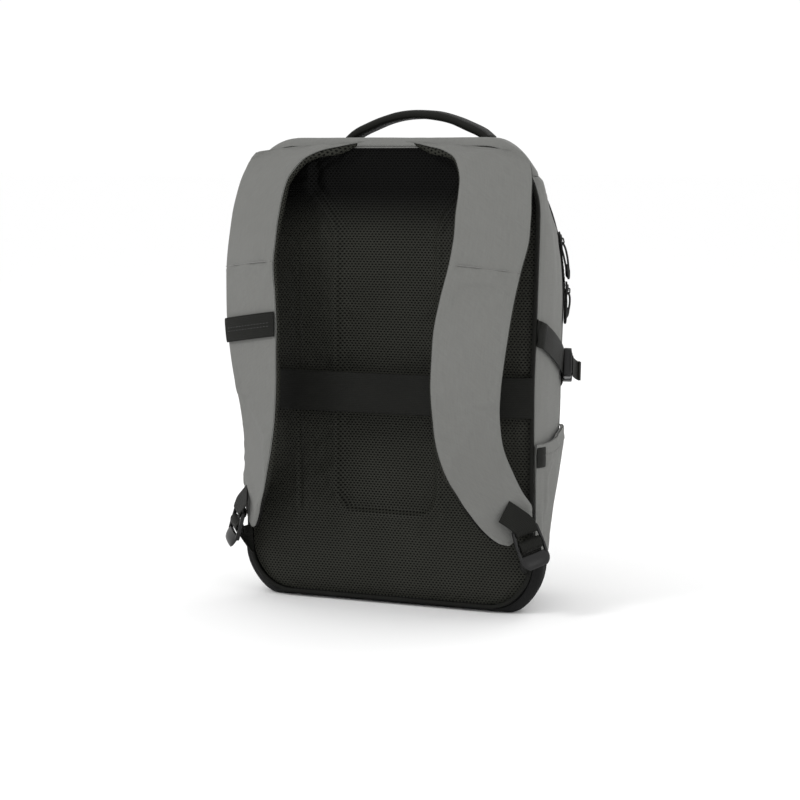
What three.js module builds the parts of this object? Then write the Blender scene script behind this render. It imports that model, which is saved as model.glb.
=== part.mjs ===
import * as THREE from 'three';

// Laptop backpack, in millimetres. The model is drawn with its padded back on the plane y = 0
// and the bag behind it; the last lines move it so that the origin is the middle of the flat base.
// +Z is up and the padded back faces -Y. Right and left are as seen by someone who looks at the
// padded back, so the right side is +X.

const { cos, sin, asin, sqrt, abs, min, max, PI, sign } = Math;
const point = (x, y, z) => new THREE.Vector3(x, y, z);

// Driving sizes of the bag
const BODY_HALF_WIDTH = 160;
const BODY_HEIGHT = 470;
const BODY_DEPTH = 168;
const CLOTH = 2;
const GAP = 0.4;
const LAID_GAP = 0.9;
const CROWN_SEAM = 432;
const FOOT_SEAM = 58;
const MAIN_SEAM = 112;

// Padded back
const PAD_THICK = 12;
const PAD_ROLL = 5;
const PAD_ROLL_WIDTH = 16;
const CHANNEL_HALF_WIDTH = 54;
const CHANNEL_DEPTH = 4.5;
const CHANNEL_WALL = 6;
const CHANNEL_FOOT = 92;
const CHANNEL_CORNER = 26;
const CHANNEL_FLARE = 31;
const FLARE_FROM = 368;
const FLARE_TO = 418;
const GROOVE_OUT = 96;
const GROOVE_DEPTH = 2;
const GROOVE_WIDTH = 9;
const BINDING_BACK = 0.8;
const BINDING_FRONT = 2.4;
const BINDING_WIDTH = 5;
const BINDING_PROUD = 0.6;

// Pass-through band across the padded back
const BAND_LOW = 197;
const BAND_TALL = 40;
const BAND_STAND_OFF = 20;
const BAND_THICK = 1.6;
const BAND_INSET = 4;

// Shoulder straps
const STRAP_WIDTH = 70;
const STRAP_STAND_OFF = 72;
const STRAP_FACE = 2.4;
const STRAP_PAD = 10;
const STRAP_CROWN = 1.6;
const WEB_WIDTH = 25;
const WEB_THICK = 1.4;
const SLEEVE_LOW = 271;
const SLEEVE_TALL = 24;
const SLEEVE_TILT = 10;
const LINING_EDGE = 0.8;

// Ladder lock, and where it hangs as shares of half width, stand-off and height
const LOCK_WIDTH = 33;
const LOCK_LONG = 38;
const LOCK_THICK = 4;
const LOCK_TOP_BAR = 4;
const LOCK_MIDDLE_BAR = 5;
const LOCK_LIP = 11;
const LOCK_PLACE = { out: 1.0, off: 0.264, up: 0.159 };
const LOCK_TURN = 49;
const LOCK_ROLL = 16;
const LOCK_LEAN = 9;
const LOCK_CORNER = 3;
const END_TAB_UP = 110;
const WEB_SPREAD = 3.4;
const ANCHOR_UP = 57;
const ANCHOR_TALL = 29;

// Side pockets, side straps and label
const POCKET_BACK = 16;
const POCKET_FRONT = 116;
const POCKET_BULGE = 6;
const POCKET_RIM_BACK = 171;
const POCKET_RIM_RISE = 12;
const SIDE_STRAP_BACK_UP = 281;
const SIDE_STRAP_FALL = 46;
const SIDE_STRAP_END = 84;
const SIDE_STRAP_INSET = 3;
const STUB_LONG = 24;
const BUCKLE_LONG = 34;
const BUCKLE_WIDE = 30;
const BUCKLE_THICK = 10;
const BUCKLE_NOTCH = 3;
const TAIL_LONG = 24;
const TAIL_WIDE = 20;
const TAIL_LIFT = 7;
const LABEL_UP = 148;
const LABEL_TALL = 20;

// Zip and grab handle
const ZIP_WIDTH = 15;
const ZIP_THICK = 1.6;
const ZIP_FOOT = 296;
const SLIDER_UPS = [368, 318];
const SLIDER_LONG = 13;
const SLIDER_WIDE = 8;
const SLIDER_THICK = 3;
const PULL_LONGS = [42, 30];
const PULL_HANGS = [point(0.16, 0.1, -1), point(-0.02, -0.12, -1)];
const PULL_WIDE = 7;
const PULL_ROD = 2.6;
const HANDLE_HALF_SPAN = 77;
const HANDLE_PLACE = 88;
const HANDLE_RISE = 25.5;
const HANDLE_WIDE = 25;
const HANDLE_THICK = 9.5;

// Sections of the bag from its back to its front: depth, half width, top and base, as shares of
// the bag's depth, half width and height
const SECTIONS = [
  { depth: 0, half: 0.985, top: 0.983, base: 0.011 },
  { depth: 0.07, half: 1.015, top: 1, base: 0 },
  { depth: 0.18, half: 1.018, top: 1, base: 0 },
  { depth: 0.36, half: 1.006, top: 1, base: 0 },
  { depth: 0.51, half: 0.98, top: 0.99, base: 0 },
  { depth: 0.667, half: 0.925, top: 0.97, base: 0 },
  { depth: 0.774, half: 0.87, top: 0.936, base: 0.006 },
  { depth: 0.863, half: 0.79, top: 0.89, base: 0.02 },
  { depth: 0.929, half: 0.67, top: 0.825, base: 0.047 },
  { depth: 0.976, half: 0.49, top: 0.735, base: 0.096 },
  { depth: 1, half: 0.28, top: 0.64, base: 0.17 },
];

// The corner ellipses of those sections, at the crown and at the foot, as the same shares
const CORNERS = [
  { depth: 0, crownWide: 0.36, crownTall: 0.14, footWide: 0.3, footTall: 0.11 },
  { depth: 0.07, crownWide: 0.4, crownTall: 0.17, footWide: 0.21, footTall: 0.11 },
  { depth: 0.18, crownWide: 0.44, crownTall: 0.22, footWide: 0.24, footTall: 0.17 },
  { depth: 0.36, crownWide: 0.44, crownTall: 0.34, footWide: 0.31, footTall: 0.4 },
  { depth: 0.51, crownWide: 0.47, crownTall: 0.35, footWide: 0.36, footTall: 0.47 },
  { depth: 0.667, crownWide: 0.5, crownTall: 0.36, footWide: 0.35, footTall: 0.47 },
  { depth: 0.774, crownWide: 0.5, crownTall: 0.36, footWide: 0.38, footTall: 0.46 },
  { depth: 0.863, crownWide: 0.47, crownTall: 0.37, footWide: 0.4, footTall: 0.43 },
  { depth: 0.929, crownWide: 0.44, crownTall: 0.34, footWide: 0.4, footTall: 0.38 },
  { depth: 0.976, crownWide: 0.35, crownTall: 0.27, footWide: 0.34, footTall: 0.28 },
  { depth: 1, crownWide: 0.2, crownTall: 0.15, footWide: 0.2, footTall: 0.15 },
];

// The bag is a little narrower low down and wider at the shoulders
const WAIST = [
  { up: 0, width: 0.985 },
  { up: 0.46, width: 0.985 },
  { up: 0.63, width: 1 },
  { up: 0.88, width: 1.016 },
  { up: 1, width: 1.016 },
];

// Right shoulder strap from the top seam to its tip: centre line as shares of half width,
// stand-off and height, turn and rise of the cross line in degrees, width and padding as shares
const STRAP_ROWS = [
  { out: 0.516, off: 0.055, up: 0.981, turn: 0, rise: -5, wide: 1.73, pad: 0.35 },
  { out: 0.6, off: 0.083, up: 0.973, turn: 2, rise: -6, wide: 1.47, pad: 0.5 },
  { out: 0.669, off: 0.125, up: 0.966, turn: 6.5, rise: -6, wide: 1.21, pad: 0.65 },
  { out: 0.72, off: 0.17, up: 0.956, turn: 13.5, rise: -3, wide: 1.04, pad: 0.85 },
  { out: 0.756, off: 0.25, up: 0.936, turn: 20, rise: 0, wide: 1, pad: 1 },
  { out: 0.777, off: 0.333, up: 0.915, turn: 22, rise: 0, wide: 0.99, pad: 1 },
  { out: 0.789, off: 0.435, up: 0.883, turn: 23, rise: 0, wide: 1, pad: 1 },
  { out: 0.797, off: 0.54, up: 0.84, turn: 24, rise: 0, wide: 1.03, pad: 1 },
  { out: 0.8, off: 0.63, up: 0.791, turn: 24, rise: 0, wide: 1.03, pad: 1 },
  { out: 0.784, off: 0.785, up: 0.732, turn: 22.5, rise: 0, wide: 1, pad: 1 },
  { out: 0.756, off: 0.89, up: 0.672, turn: 21, rise: 0, wide: 1.01, pad: 1 },
  { out: 0.734, off: 0.965, up: 0.613, turn: 21, rise: 0, wide: 1.02, pad: 1 },
  { out: 0.719, off: 1, up: 0.551, turn: 23, rise: 0, wide: 0.99, pad: 1 },
  { out: 0.706, off: 1, up: 0.491, turn: 26, rise: 0, wide: 0.96, pad: 1 },
  { out: 0.703, off: 0.95, up: 0.43, turn: 32, rise: 0, wide: 0.93, pad: 1 },
  { out: 0.719, off: 0.875, up: 0.366, turn: 39, rise: 0, wide: 0.95, pad: 1 },
  { out: 0.769, off: 0.722, up: 0.302, turn: 45, rise: 0, wide: 1, pad: 1 },
  { out: 0.819, off: 0.56, up: 0.257, turn: 47, rise: 0, wide: 1, pad: 0.85 },
  { out: 0.85, off: 0.46, up: 0.234, turn: 49, rise: 8, wide: 0.93, pad: 0.75 },
  { out: 0.881, off: 0.354, up: 0.211, turn: 49, rise: 22, wide: 0.8, pad: 0.65 },
  { out: 0.909, off: 0.264, up: 0.193, turn: 49, rise: 36, wide: 0.66, pad: 0.55 },
  { out: 0.931, off: 0.2, up: 0.18, turn: 49, rise: 39, wide: 0.5, pad: 0.45 },
];

// Places across a strap, as shares of its width from the inner to the outer edge
const STRAP_ACROSS = [-0.5, -0.4, -0.15, 0.15, 0.4, 0.5];

// Finishes
const GREY_CLOTH = { color: 0x82827f, roughness: 0.85, metalness: 0 };
const BLACK_CLOTH = { color: 0x1b1b1b, roughness: 0.85, metalness: 0 };
const BLACK_MESH = { color: 0x161616, roughness: 0.95, metalness: 0 };
const BLACK_WEBBING = { color: 0x1d1d1c, roughness: 0.75, metalness: 0 };
const BLACK_PLASTIC = { color: 0x202020, roughness: 0.35, metalness: 0 };

const radians = (degrees) => (degrees * PI) / 180;
const blend = (a, b, share) => a + (b - a) * share;
const bag = new THREE.Group();

// Even steps from one value to another, both ends included
function steps(from, to, count) {
  return Array.from({ length: count + 1 }, (_, i) => blend(from, to, i / count));
}

// A named piece of the bag
function addPiece(name, geometry, finish) {
  const mesh = new THREE.Mesh(geometry, new THREE.MeshStandardMaterial(finish));
  mesh.name = name;
  bag.add(mesh);
}

// A piece on the right side and its mirror image on the left
function addPair(name, geometry, finish) {
  addPiece(`${name}_right`, geometry, finish);
  addPiece(`${name}_left`, mirrored(geometry), finish);
}

// The mirror image across x = 0, with its faces still pointing out
function mirrored(geometry) {
  const flat = geometry.index ? geometry.toNonIndexed() : geometry.clone();
  const from = flat.attributes.position.array;
  const to = new Float32Array(from.length);
  for (let face = 0; face < from.length; face += 9) {
    [0, 2, 1].forEach((corner, place) => {
      to[face + 3 * place] = -from[face + 3 * corner];
      to[face + 3 * place + 1] = from[face + 3 * corner + 1];
      to[face + 3 * place + 2] = from[face + 3 * corner + 2];
    });
  }
  const result = new THREE.BufferGeometry();
  result.setAttribute('position', new THREE.BufferAttribute(to, 3));
  result.computeVertexNormals();
  return result;
}

// A closed body from points and triangles, turned so that its faces point out
function closedBody(points, faces) {
  const volume = faces.reduce(
    (sum, [a, b, c]) => sum + points[a].dot(points[b].clone().cross(points[c])),
    0,
  );
  const turned = volume < 0 ? faces.map(([a, b, c]) => [a, c, b]) : faces;
  const geometry = new THREE.BufferGeometry();
  const numbers = points.flatMap((p) => [p.x, p.y, p.z]);
  geometry.setAttribute('position', new THREE.Float32BufferAttribute(numbers, 3));
  geometry.setIndex(turned.flat());
  geometry.computeVertexNormals();
  return geometry;
}

// A sheet with a front and a back grid of points, closed along its four borders
function sheet(front, back) {
  const rows = front.length - 1;
  const columns = front[0].length - 1;
  const across = columns + 1;
  const points = [...front.flat(), ...back.flat()];
  const faces = [];
  const quad = (a, b, c, d) => faces.push([a, b, c], [a, c, d]);
  const f = (r, c) => r * across + c;
  const b = (r, c) => (rows + 1) * across + f(r, c);
  for (let r = 0; r < rows; r += 1) {
    for (let c = 0; c < columns; c += 1) {
      quad(f(r, c), f(r, c + 1), f(r + 1, c + 1), f(r + 1, c));
      quad(b(r, c), b(r + 1, c), b(r + 1, c + 1), b(r, c + 1));
    }
    quad(f(r, 0), f(r + 1, 0), b(r + 1, 0), b(r, 0));
    quad(f(r, columns), b(r, columns), b(r + 1, columns), f(r + 1, columns));
  }
  for (let c = 0; c < columns; c += 1) {
    quad(f(0, c), b(0, c), b(0, c + 1), f(0, c + 1));
    quad(f(rows, c), f(rows, c + 1), b(rows, c + 1), b(rows, c));
  }
  return closedBody(points, faces);
}

// A body through rings of equally many points, with flat ends, or joined end to start
function loft(rings, looped = false) {
  const around = rings[0].length;
  const points = rings.flat();
  const faces = [];
  const last = looped ? rings.length : rings.length - 1;
  for (let r = 0; r < last; r += 1) {
    const next = (r + 1) % rings.length;
    for (let c = 0; c < around; c += 1) {
      const d = (c + 1) % around;
      faces.push([r * around + c, r * around + d, next * around + d]);
      faces.push([r * around + c, next * around + d, next * around + c]);
    }
  }
  if (!looped) {
    const end = (rings.length - 1) * around;
    for (let c = 1; c < around - 1; c += 1) {
      faces.push([0, c + 1, c], [end, end + c, end + c + 1]);
    }
  }
  return closedBody(points, faces);
}

// A cup whose outer and inner rings run from the rim to a closed end
function cup(outer, inner) {
  const around = outer[0].length;
  const middle = (ring) => ring.reduce((sum, p) => sum.add(p), point(0, 0, 0)).divideScalar(around);
  const points = [...outer.flat(), ...inner.flat()];
  const start = outer.length * around;
  const tip = points.length;
  points.push(middle(outer[outer.length - 1]), middle(inner[inner.length - 1]));
  const faces = [];
  for (let c = 0; c < around; c += 1) {
    const d = (c + 1) % around;
    for (let r = 0; r < outer.length - 1; r += 1) {
      const a = r * around;
      faces.push([a + c, a + d, a + around + d], [a + c, a + around + d, a + around + c]);
      const b = start + a;
      faces.push([b + c, b + around + d, b + d], [b + c, b + around + c, b + around + d]);
    }
    const end = (outer.length - 1) * around;
    faces.push([end + c, end + d, tip], [start + end + c, tip + 1, start + end + d]);
    faces.push([c, start + c, start + d], [c, start + d, d]);
  }
  return closedBody(points, faces);
}

// Directions square to a grid of points, on the side that a given direction points to
function gridNormals(grid, towards) {
  const at = (r, c) => grid[min(max(r, 0), grid.length - 1)][min(max(c, 0), grid[0].length - 1)];
  return grid.map((row, r) =>
    row.map((_, c) => {
      const along = at(r + 1, c).clone().sub(at(r - 1, c));
      const across = at(r, c + 1).clone().sub(at(r, c - 1));
      const normal = along.cross(across).normalize();
      return normal.multiplyScalar(sign(normal.dot(towards)) || 1);
    }),
  );
}

// A grid moved along its normals by a distance that may change over it
function lifted(grid, normals, distance) {
  return grid.map((row, r) =>
    row.map((p, c) => p.clone().addScaledVector(normals[r][c], distance(r, c))),
  );
}

// A flat strip of webbing along a path, with the direction of its width at each point
function webbing(path, acrosses, wide, thick) {
  const rings = path.map((p, i) => {
    const along = path[min(i + 1, path.length - 1)].clone().sub(path[max(i - 1, 0)]).normalize();
    const side = acrosses[i].clone().multiplyScalar(wide / 2);
    const up = along.cross(acrosses[i]).normalize().multiplyScalar(thick / 2);
    return [
      p.clone().add(side).add(up),
      p.clone().sub(side).add(up),
      p.clone().sub(side).sub(up),
      p.clone().add(side).sub(up),
    ];
  });
  return loft(rings);
}

// A value read from a table by its key column, in straight steps between the rows
function readTable(rows, key, column, share) {
  const next = max(1, rows.findIndex((row) => row[key] >= share - 1e-9));
  const [a, b] = [rows[next - 1], rows[next]];
  const part = (share - a[key]) / (b[key] - a[key]);
  return blend(a[column], b[column], min(max(part, 0), 1));
}

const waist = (up) => readTable(WAIST, 'up', 'width', min(max(up / BODY_HEIGHT, 0), 1));

// The bag's section at a depth, made smaller by an inset on every side
function sectionAt(depth, inset = 0) {
  const share = min(max(depth / BODY_DEPTH, 0), 1);
  const outline = (column) => readTable(SECTIONS, 'depth', column, share);
  const corner = (column) => readTable(CORNERS, 'depth', column, share);
  return {
    half: outline('half') * BODY_HALF_WIDTH - inset,
    top: outline('top') * BODY_HEIGHT - inset,
    base: outline('base') * BODY_HEIGHT + inset,
    crownWide: corner('crownWide') * BODY_HALF_WIDTH - inset,
    crownTall: corner('crownTall') * BODY_HEIGHT - inset,
    footWide: corner('footWide') * BODY_HALF_WIDTH - inset,
    footTall: corner('footTall') * BODY_HEIGHT - inset,
  };
}

// How far a section reaches sideways at a height
function reach(section, up) {
  const crown = section.top - section.crownTall;
  const foot = section.base + section.footTall;
  const drop = (part) => 1 - sqrt(max(0, 1 - min(part, 1) ** 2));
  let out = section.half;
  if (up > crown) out -= section.crownWide * drop((up - crown) / section.crownTall);
  if (up < foot) out -= section.footWide * drop((foot - up) / section.footTall);
  return out * waist(up);
}

// Points on the upper and lower corner of a section; 0 degrees is its side, 90 its top or base
function crownPoint(section, depth, angle) {
  const up = section.top - section.crownTall * (1 - sin(angle));
  const out = section.half - section.crownWide * (1 - cos(angle));
  return point(out * waist(up), depth, up);
}

function footPoint(section, depth, angle) {
  const up = section.base + section.footTall * (1 - sin(angle));
  const out = section.half - section.footWide * (1 - cos(angle));
  return point(out * waist(up), depth, up);
}

const leftOf = (p) => point(-p.x, p.y, p.z);

// Depths where the bag's sections lie between two depths, with both ends
function stations(from, to) {
  const inner = SECTIONS.map((row) => row.depth * BODY_DEPTH).filter((d) => d > from + 1 && d < to - 1);
  return [from, ...inner, to];
}

// A point on the bag's right side, lifted square to it
function sidePoint(depth, up, lift = 0) {
  const out = (d, z) => reach(sectionAt(d), z);
  const nudge = 1;
  const slopeDepth = (out(depth + nudge, up) - out(depth - nudge, up)) / (2 * nudge);
  const slopeUp = (out(depth, up + nudge) - out(depth, up - nudge)) / (2 * nudge);
  const normal = point(1, -slopeDepth, -slopeUp).normalize();
  return { place: point(out(depth, up), depth, up).addScaledVector(normal, lift), normal };
}

const PANEL_START = BINDING_FRONT + GAP;

function sidePanel() {
  const heights = steps(FOOT_SEAM, CROWN_SEAM, 12);
  const wall = (inset) =>
    heights.map((up) =>
      stations(PANEL_START, MAIN_SEAM).map((d) => point(reach(sectionAt(d, inset), up), d, up)),
    );
  return sheet(wall(0), wall(CLOTH));
}

// A panel that runs from one side over the top, or under the base, to the other side
function archPanel(from, cornerPoint, startAngle, corners) {
  const wall = (inset) =>
    stations(from, MAIN_SEAM).map((d) => {
      const section = sectionAt(d, inset);
      const right = steps(startAngle(section), PI / 2, corners).map((a) => cornerPoint(section, d, a));
      return [...right, ...right.map(leftOf).reverse()];
    });
  return sheet(wall(0), wall(CLOTH));
}

const crownAngle = (section, up) =>
  asin(min(max((up - section.top + section.crownTall) / section.crownTall, -1), 1));
const footAngle = (section, up) =>
  asin(min(max((section.base + section.footTall - up) / section.footTall, -1), 1));

function topPanel() {
  return archPanel(0, crownPoint, (section) => crownAngle(section, CROWN_SEAM + GAP), 5);
}

function basePanel() {
  return archPanel(PANEL_START, footPoint, (section) => footAngle(section, FOOT_SEAM - GAP), 5);
}

// The domed front, as a cup whose rim meets the side, top and base panels
function frontPanel() {
  const ring = (depth, inset, shift) => {
    const section = sectionAt(depth, inset);
    const crown = steps(0, PI / 2, 7).map((a) => crownPoint(section, depth - shift, a));
    const foot = steps(PI / 2, 0, 7).map((a) => footPoint(section, depth - shift, a));
    const right = [...foot, ...crown];
    return [...right, ...right.map(leftOf).reverse()];
  };
  const depths = stations(MAIN_SEAM + GAP, BODY_DEPTH);
  const wall = (inset) => depths.map((d, i) => ring(d, inset, (inset * i) / (depths.length - 1)));
  return cup(wall(0), wall(CLOTH));
}

// How far the padded face lies behind the plane of the back: rolled edges, channel and grooves
function padRelief(out, up, edge) {
  const rolled = edge < PAD_ROLL_WIDTH ? PAD_ROLL * (1 - edge / PAD_ROLL_WIDTH) ** 2 : 0;
  const half = channelHalfWidth(up);
  const inside = half - out;
  const aboveFoot = min(max((up - CHANNEL_FOOT) / CHANNEL_WALL, 0), 1);
  const channel = CHANNEL_DEPTH * min(max(inside / CHANNEL_WALL, 0), 1) * aboveFoot;
  const groove = GROOVE_DEPTH * max(0, 1 - abs(out - GROOVE_OUT) / (GROOVE_WIDTH / 2));
  const grooved = up > CHANNEL_FOOT && up < FLARE_FROM ? groove : 0;
  return max(rolled, channel, grooved);
}

// Half width of the middle channel: rounded at its foot and flared towards the top
function channelHalfWidth(up) {
  const flare = min(max((up - FLARE_FROM) / (FLARE_TO - FLARE_FROM), 0), 1);
  const above = up - CHANNEL_FOOT;
  if (above < 0) return 0;
  const corner = CHANNEL_CORNER - sqrt(max(0, CHANNEL_CORNER ** 2 - max(0, CHANNEL_CORNER - above) ** 2));
  return CHANNEL_HALF_WIDTH - corner + CHANNEL_FLARE * flare * flare;
}

function backPanel() {
  const inset = CLOTH + 2 * GAP;
  const outline = sectionAt(0, inset);
  const low = outline.base;
  const high = outline.top;
  const corner = outline.crownTall;
  const arc = (from, to, count) => steps(0, PI / 2, count).map((a) => blend(from, to, 1 - cos(a)));
  const heights = [
    ...arc(low, low + corner, 5),
    ...[CHANNEL_FOOT - CHANNEL_CORNER / 2, CHANNEL_FOOT, CHANNEL_FOOT + CHANNEL_WALL],
    ...steps(CHANNEL_FOOT + CHANNEL_CORNER, FLARE_FROM, 6),
    (FLARE_FROM + FLARE_TO) / 2,
    ...arc(high, high - corner, 5).reverse(),
  ];
  const half = (up) => reach(outline, up);
  const columns = (up) => {
    const width = half(up);
    const spread = GROOVE_WIDTH / 2;
    const edge = (share) => width - PAD_ROLL_WIDTH * share;
    const groove = min(GROOVE_OUT, edge(1) - spread - 1);
    const channel = min(max(channelHalfWidth(up), CHANNEL_HALF_WIDTH / 2), groove - spread - 1);
    const right = [channel / 2, channel - CHANNEL_WALL, channel];
    right.push(groove - spread, groove, groove + spread, edge(1), edge(0.5), width);
    return [...right.map((x) => -x).reverse(), 0, ...right];
  };
  const face = heights.map((up) =>
    columns(up).map((x) => {
      const edge = min(half(up) - abs(x), up - low, high - up);
      return point(x, padRelief(abs(x), up, edge), up);
    }),
  );
  const rear = heights.map((up) => columns(up).map((x) => point(x, PAD_THICK, up)));
  return sheet(face, rear);
}

// The tape bound around the seam of the padded back, from shoulder to shoulder under the base
function backBinding() {
  const rim = sectionAt(0);
  const crownLow = rim.top - rim.crownTall;
  const footHigh = rim.base + rim.footTall;
  const right = [
    ...steps(CROWN_SEAM - GAP, crownLow, 2).map((up) => ({ up })),
    ...steps(crownLow, footHigh, 5).slice(1, -1).map((up) => ({ up })),
    ...steps(0, PI / 2, 6).map((angle) => ({ angle })),
  ];
  const place = (step, inset) => {
    const section = sectionAt(0, inset);
    if (step.angle === undefined) return point(reach(section, step.up), 0, step.up);
    return footPoint(section, 0, step.angle);
  };
  const ring = (step) => {
    const outer = place(step, -BINDING_PROUD);
    const inner = place(step, BINDING_WIDTH - BINDING_PROUD);
    const at = (p, y) => point(p.x, y, p.z);
    return [
      at(outer, -BINDING_BACK),
      at(outer, BINDING_FRONT),
      at(inner, BINDING_FRONT),
      at(inner, -BINDING_BACK),
    ];
  };
  const rings = right.map(ring);
  return loft([...rings, ...rings.map((r) => r.map(leftOf)).reverse()]);
}

// The band leaves the seams in an even curve and stands off the back between them
function luggageBand() {
  const tip = BINDING_BACK + GAP;
  const half = BODY_HALF_WIDTH - BAND_INSET;
  const shares = [1, 0.97, 0.9, 0.78, 0.62, 0.42, 0.2];
  const outs = [...shares.map((s) => -s), ...shares.reverse()];
  const off = (share) => {
    const rise = sin(min((1 - abs(share)) / 0.5, 1) * (PI / 2));
    return tip + (BAND_STAND_OFF - tip) * rise;
  };
  const face = (lift) =>
    [BAND_LOW, BAND_LOW + BAND_TALL / 2, BAND_LOW + BAND_TALL].map((up) =>
      outs.map((share) => point(share * half, -off(share) - lift, up)),
    );
  return sheet(face(BAND_THICK), face(0));
}

// Centre and cross line of the right strap at a row
function strapLine(row) {
  const turn = radians(row.turn);
  const rise = radians(row.rise);
  return {
    centre: point(row.out * BODY_HALF_WIDTH, -row.off * STRAP_STAND_OFF, row.up * BODY_HEIGHT),
    across: point(cos(turn) * cos(rise), sin(turn) * cos(rise), sin(rise)),
    width: row.wide * STRAP_WIDTH,
    pad: row.pad * STRAP_PAD,
  };
}

const AWAY_FROM_BACK = point(0.15, -1, 0.35).normalize();
const strapLines = STRAP_ROWS.map(strapLine);
const strapGrid = strapLines.map(({ centre, across, width }) =>
  STRAP_ACROSS.map((share) => centre.clone().addScaledVector(across, share * width)),
);
const strapNormals = gridNormals(strapGrid, AWAY_FROM_BACK);
const crownOf = (c) => STRAP_CROWN * (1 - (2 * STRAP_ACROSS[c]) ** 2);

// The strap's layers stop short of the seam that they are sewn into
function keptOff(grid) {
  grid.flat().forEach((p) => {
    p.y = min(p.y, -2 * GAP);
  });
  return grid;
}

const faceUnder = (r, c) => crownOf(c) - (STRAP_FACE * strapLines[r].pad) / STRAP_PAD;

function strapFace() {
  const front = lifted(strapGrid, strapNormals, (r, c) => crownOf(c));
  return sheet(front, lifted(strapGrid, strapNormals, faceUnder));
}

function strapLining() {
  const edge = (c) => (c === 0 || c === STRAP_ACROSS.length - 1 ? LINING_EDGE : 1);
  const front = lifted(strapGrid, strapNormals, (r, c) => faceUnder(r, c) - GAP);
  const back = lifted(strapGrid, strapNormals, (r, c) => -strapLines[r].pad * edge(c));
  return sheet(front, keptOff(back));
}

// A point of the strap's outer face at a height, a share across it and a lift off it
function strapPoint(up, across, lift) {
  const above = strapLines.findIndex((line) => line.centre.z <= up);
  const [a, b] = [above - 1, above];
  const part = (strapLines[a].centre.z - up) / (strapLines[a].centre.z - strapLines[b].centre.z);
  const at = (r) => {
    const line = strapLines[r];
    const middle = STRAP_ACROSS.length / 2;
    return line.centre
      .clone()
      .addScaledVector(line.across, across * line.width)
      .addScaledVector(strapNormals[r][middle], lift);
  };
  return at(a).lerp(at(b), part);
}

// Band of webbing sewn across the face of the left strap, with its inner end a little higher
function strapSleeve() {
  const shares = steps(STRAP_ACROSS[0], STRAP_ACROSS[STRAP_ACROSS.length - 1], 8);
  const face = (lift) =>
    [SLEEVE_LOW, SLEEVE_LOW + SLEEVE_TALL].map((up) =>
      shares.map((s) => strapPoint(up - SLEEVE_TILT * s, s, STRAP_CROWN * (1 - (2 * s) ** 2) + lift)),
    );
  return mirrored(sheet(face(LAID_GAP + WEB_THICK), face(LAID_GAP)));
}

// Frame of the ladder lock: across, down and out of its face
const lock = (() => {
  const turn = radians(LOCK_TURN);
  const roll = radians(LOCK_ROLL);
  const lean = radians(LOCK_LEAN);
  const across = point(cos(turn) * cos(roll), sin(turn) * cos(roll), sin(roll));
  const level = point(sin(turn), -cos(turn), 0);
  const down = across.clone().cross(level);
  if (down.z > 0) down.negate();
  const out = level.clone().multiplyScalar(cos(lean)).addScaledVector(down, -sin(lean));
  const drop = down.clone().multiplyScalar(cos(lean)).addScaledVector(level, sin(lean));
  const centre = point(
    LOCK_PLACE.out * BODY_HALF_WIDTH,
    -LOCK_PLACE.off * STRAP_STAND_OFF,
    LOCK_PLACE.up * BODY_HEIGHT,
  );
  const at = (along, proud) => centre.clone().addScaledVector(drop, along).addScaledVector(out, proud);
  return { across, down: drop, out, at };
})();

// Where the lock's bars and windows lie along it, from its middle, positive downwards
const lockTop = -LOCK_LONG / 2;
const barLow = lockTop + LOCK_TOP_BAR;
const middleTop = -LOCK_MIDDLE_BAR / 2 - 1;
const middleLow = middleTop + LOCK_MIDDLE_BAR;
const lipTop = LOCK_LONG / 2 - LOCK_LIP;

function ladderLock() {
  const half = LOCK_WIDTH / 2;
  const corner = LOCK_CORNER;
  const outline = new THREE.Shape();
  outline.moveTo(-half + corner, LOCK_LONG / 2);
  outline.lineTo(half - corner, LOCK_LONG / 2);
  outline.lineTo(half, LOCK_LONG / 2 - corner);
  outline.lineTo(half, -LOCK_LONG / 2 + 2 * corner);
  outline.lineTo(half - 2 * corner, -LOCK_LONG / 2);
  outline.lineTo(-half + 2 * corner, -LOCK_LONG / 2);
  outline.lineTo(-half, -LOCK_LONG / 2 + 2 * corner);
  outline.lineTo(-half, LOCK_LONG / 2 - corner);
  const windowHalf = WEB_WIDTH / 2 + GAP;
  const window = (top, low) => {
    const hole = new THREE.Path();
    hole.moveTo(-windowHalf, -top);
    hole.lineTo(-windowHalf, -low);
    hole.lineTo(windowHalf, -low);
    hole.lineTo(windowHalf, -top);
    return hole;
  };
  outline.holes.push(window(barLow, middleTop), window(middleLow, lipTop));
  const geometry = new THREE.ExtrudeGeometry(outline, { depth: LOCK_THICK, bevelEnabled: false });
  geometry.translate(0, 0, -LOCK_THICK / 2);
  return seated(geometry, lock.across, lock.down.clone().negate(), lock.out, lock.at(0, 0));
}

// A geometry drawn on the x, y and z axes, set into a frame
function seated(geometry, x, y, z, place) {
  const right = x.clone().cross(y).dot(z) > 0;
  const frame = new THREE.Matrix4().makeBasis(right ? x : x.clone().negate(), y, z);
  return geometry.applyMatrix4(frame.setPosition(place));
}

// How far the middle of a webbing lies from the middle of the lock that it passes
const besideLock = LOCK_THICK / 2 + 2 * GAP + WEB_THICK / 2;

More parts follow.
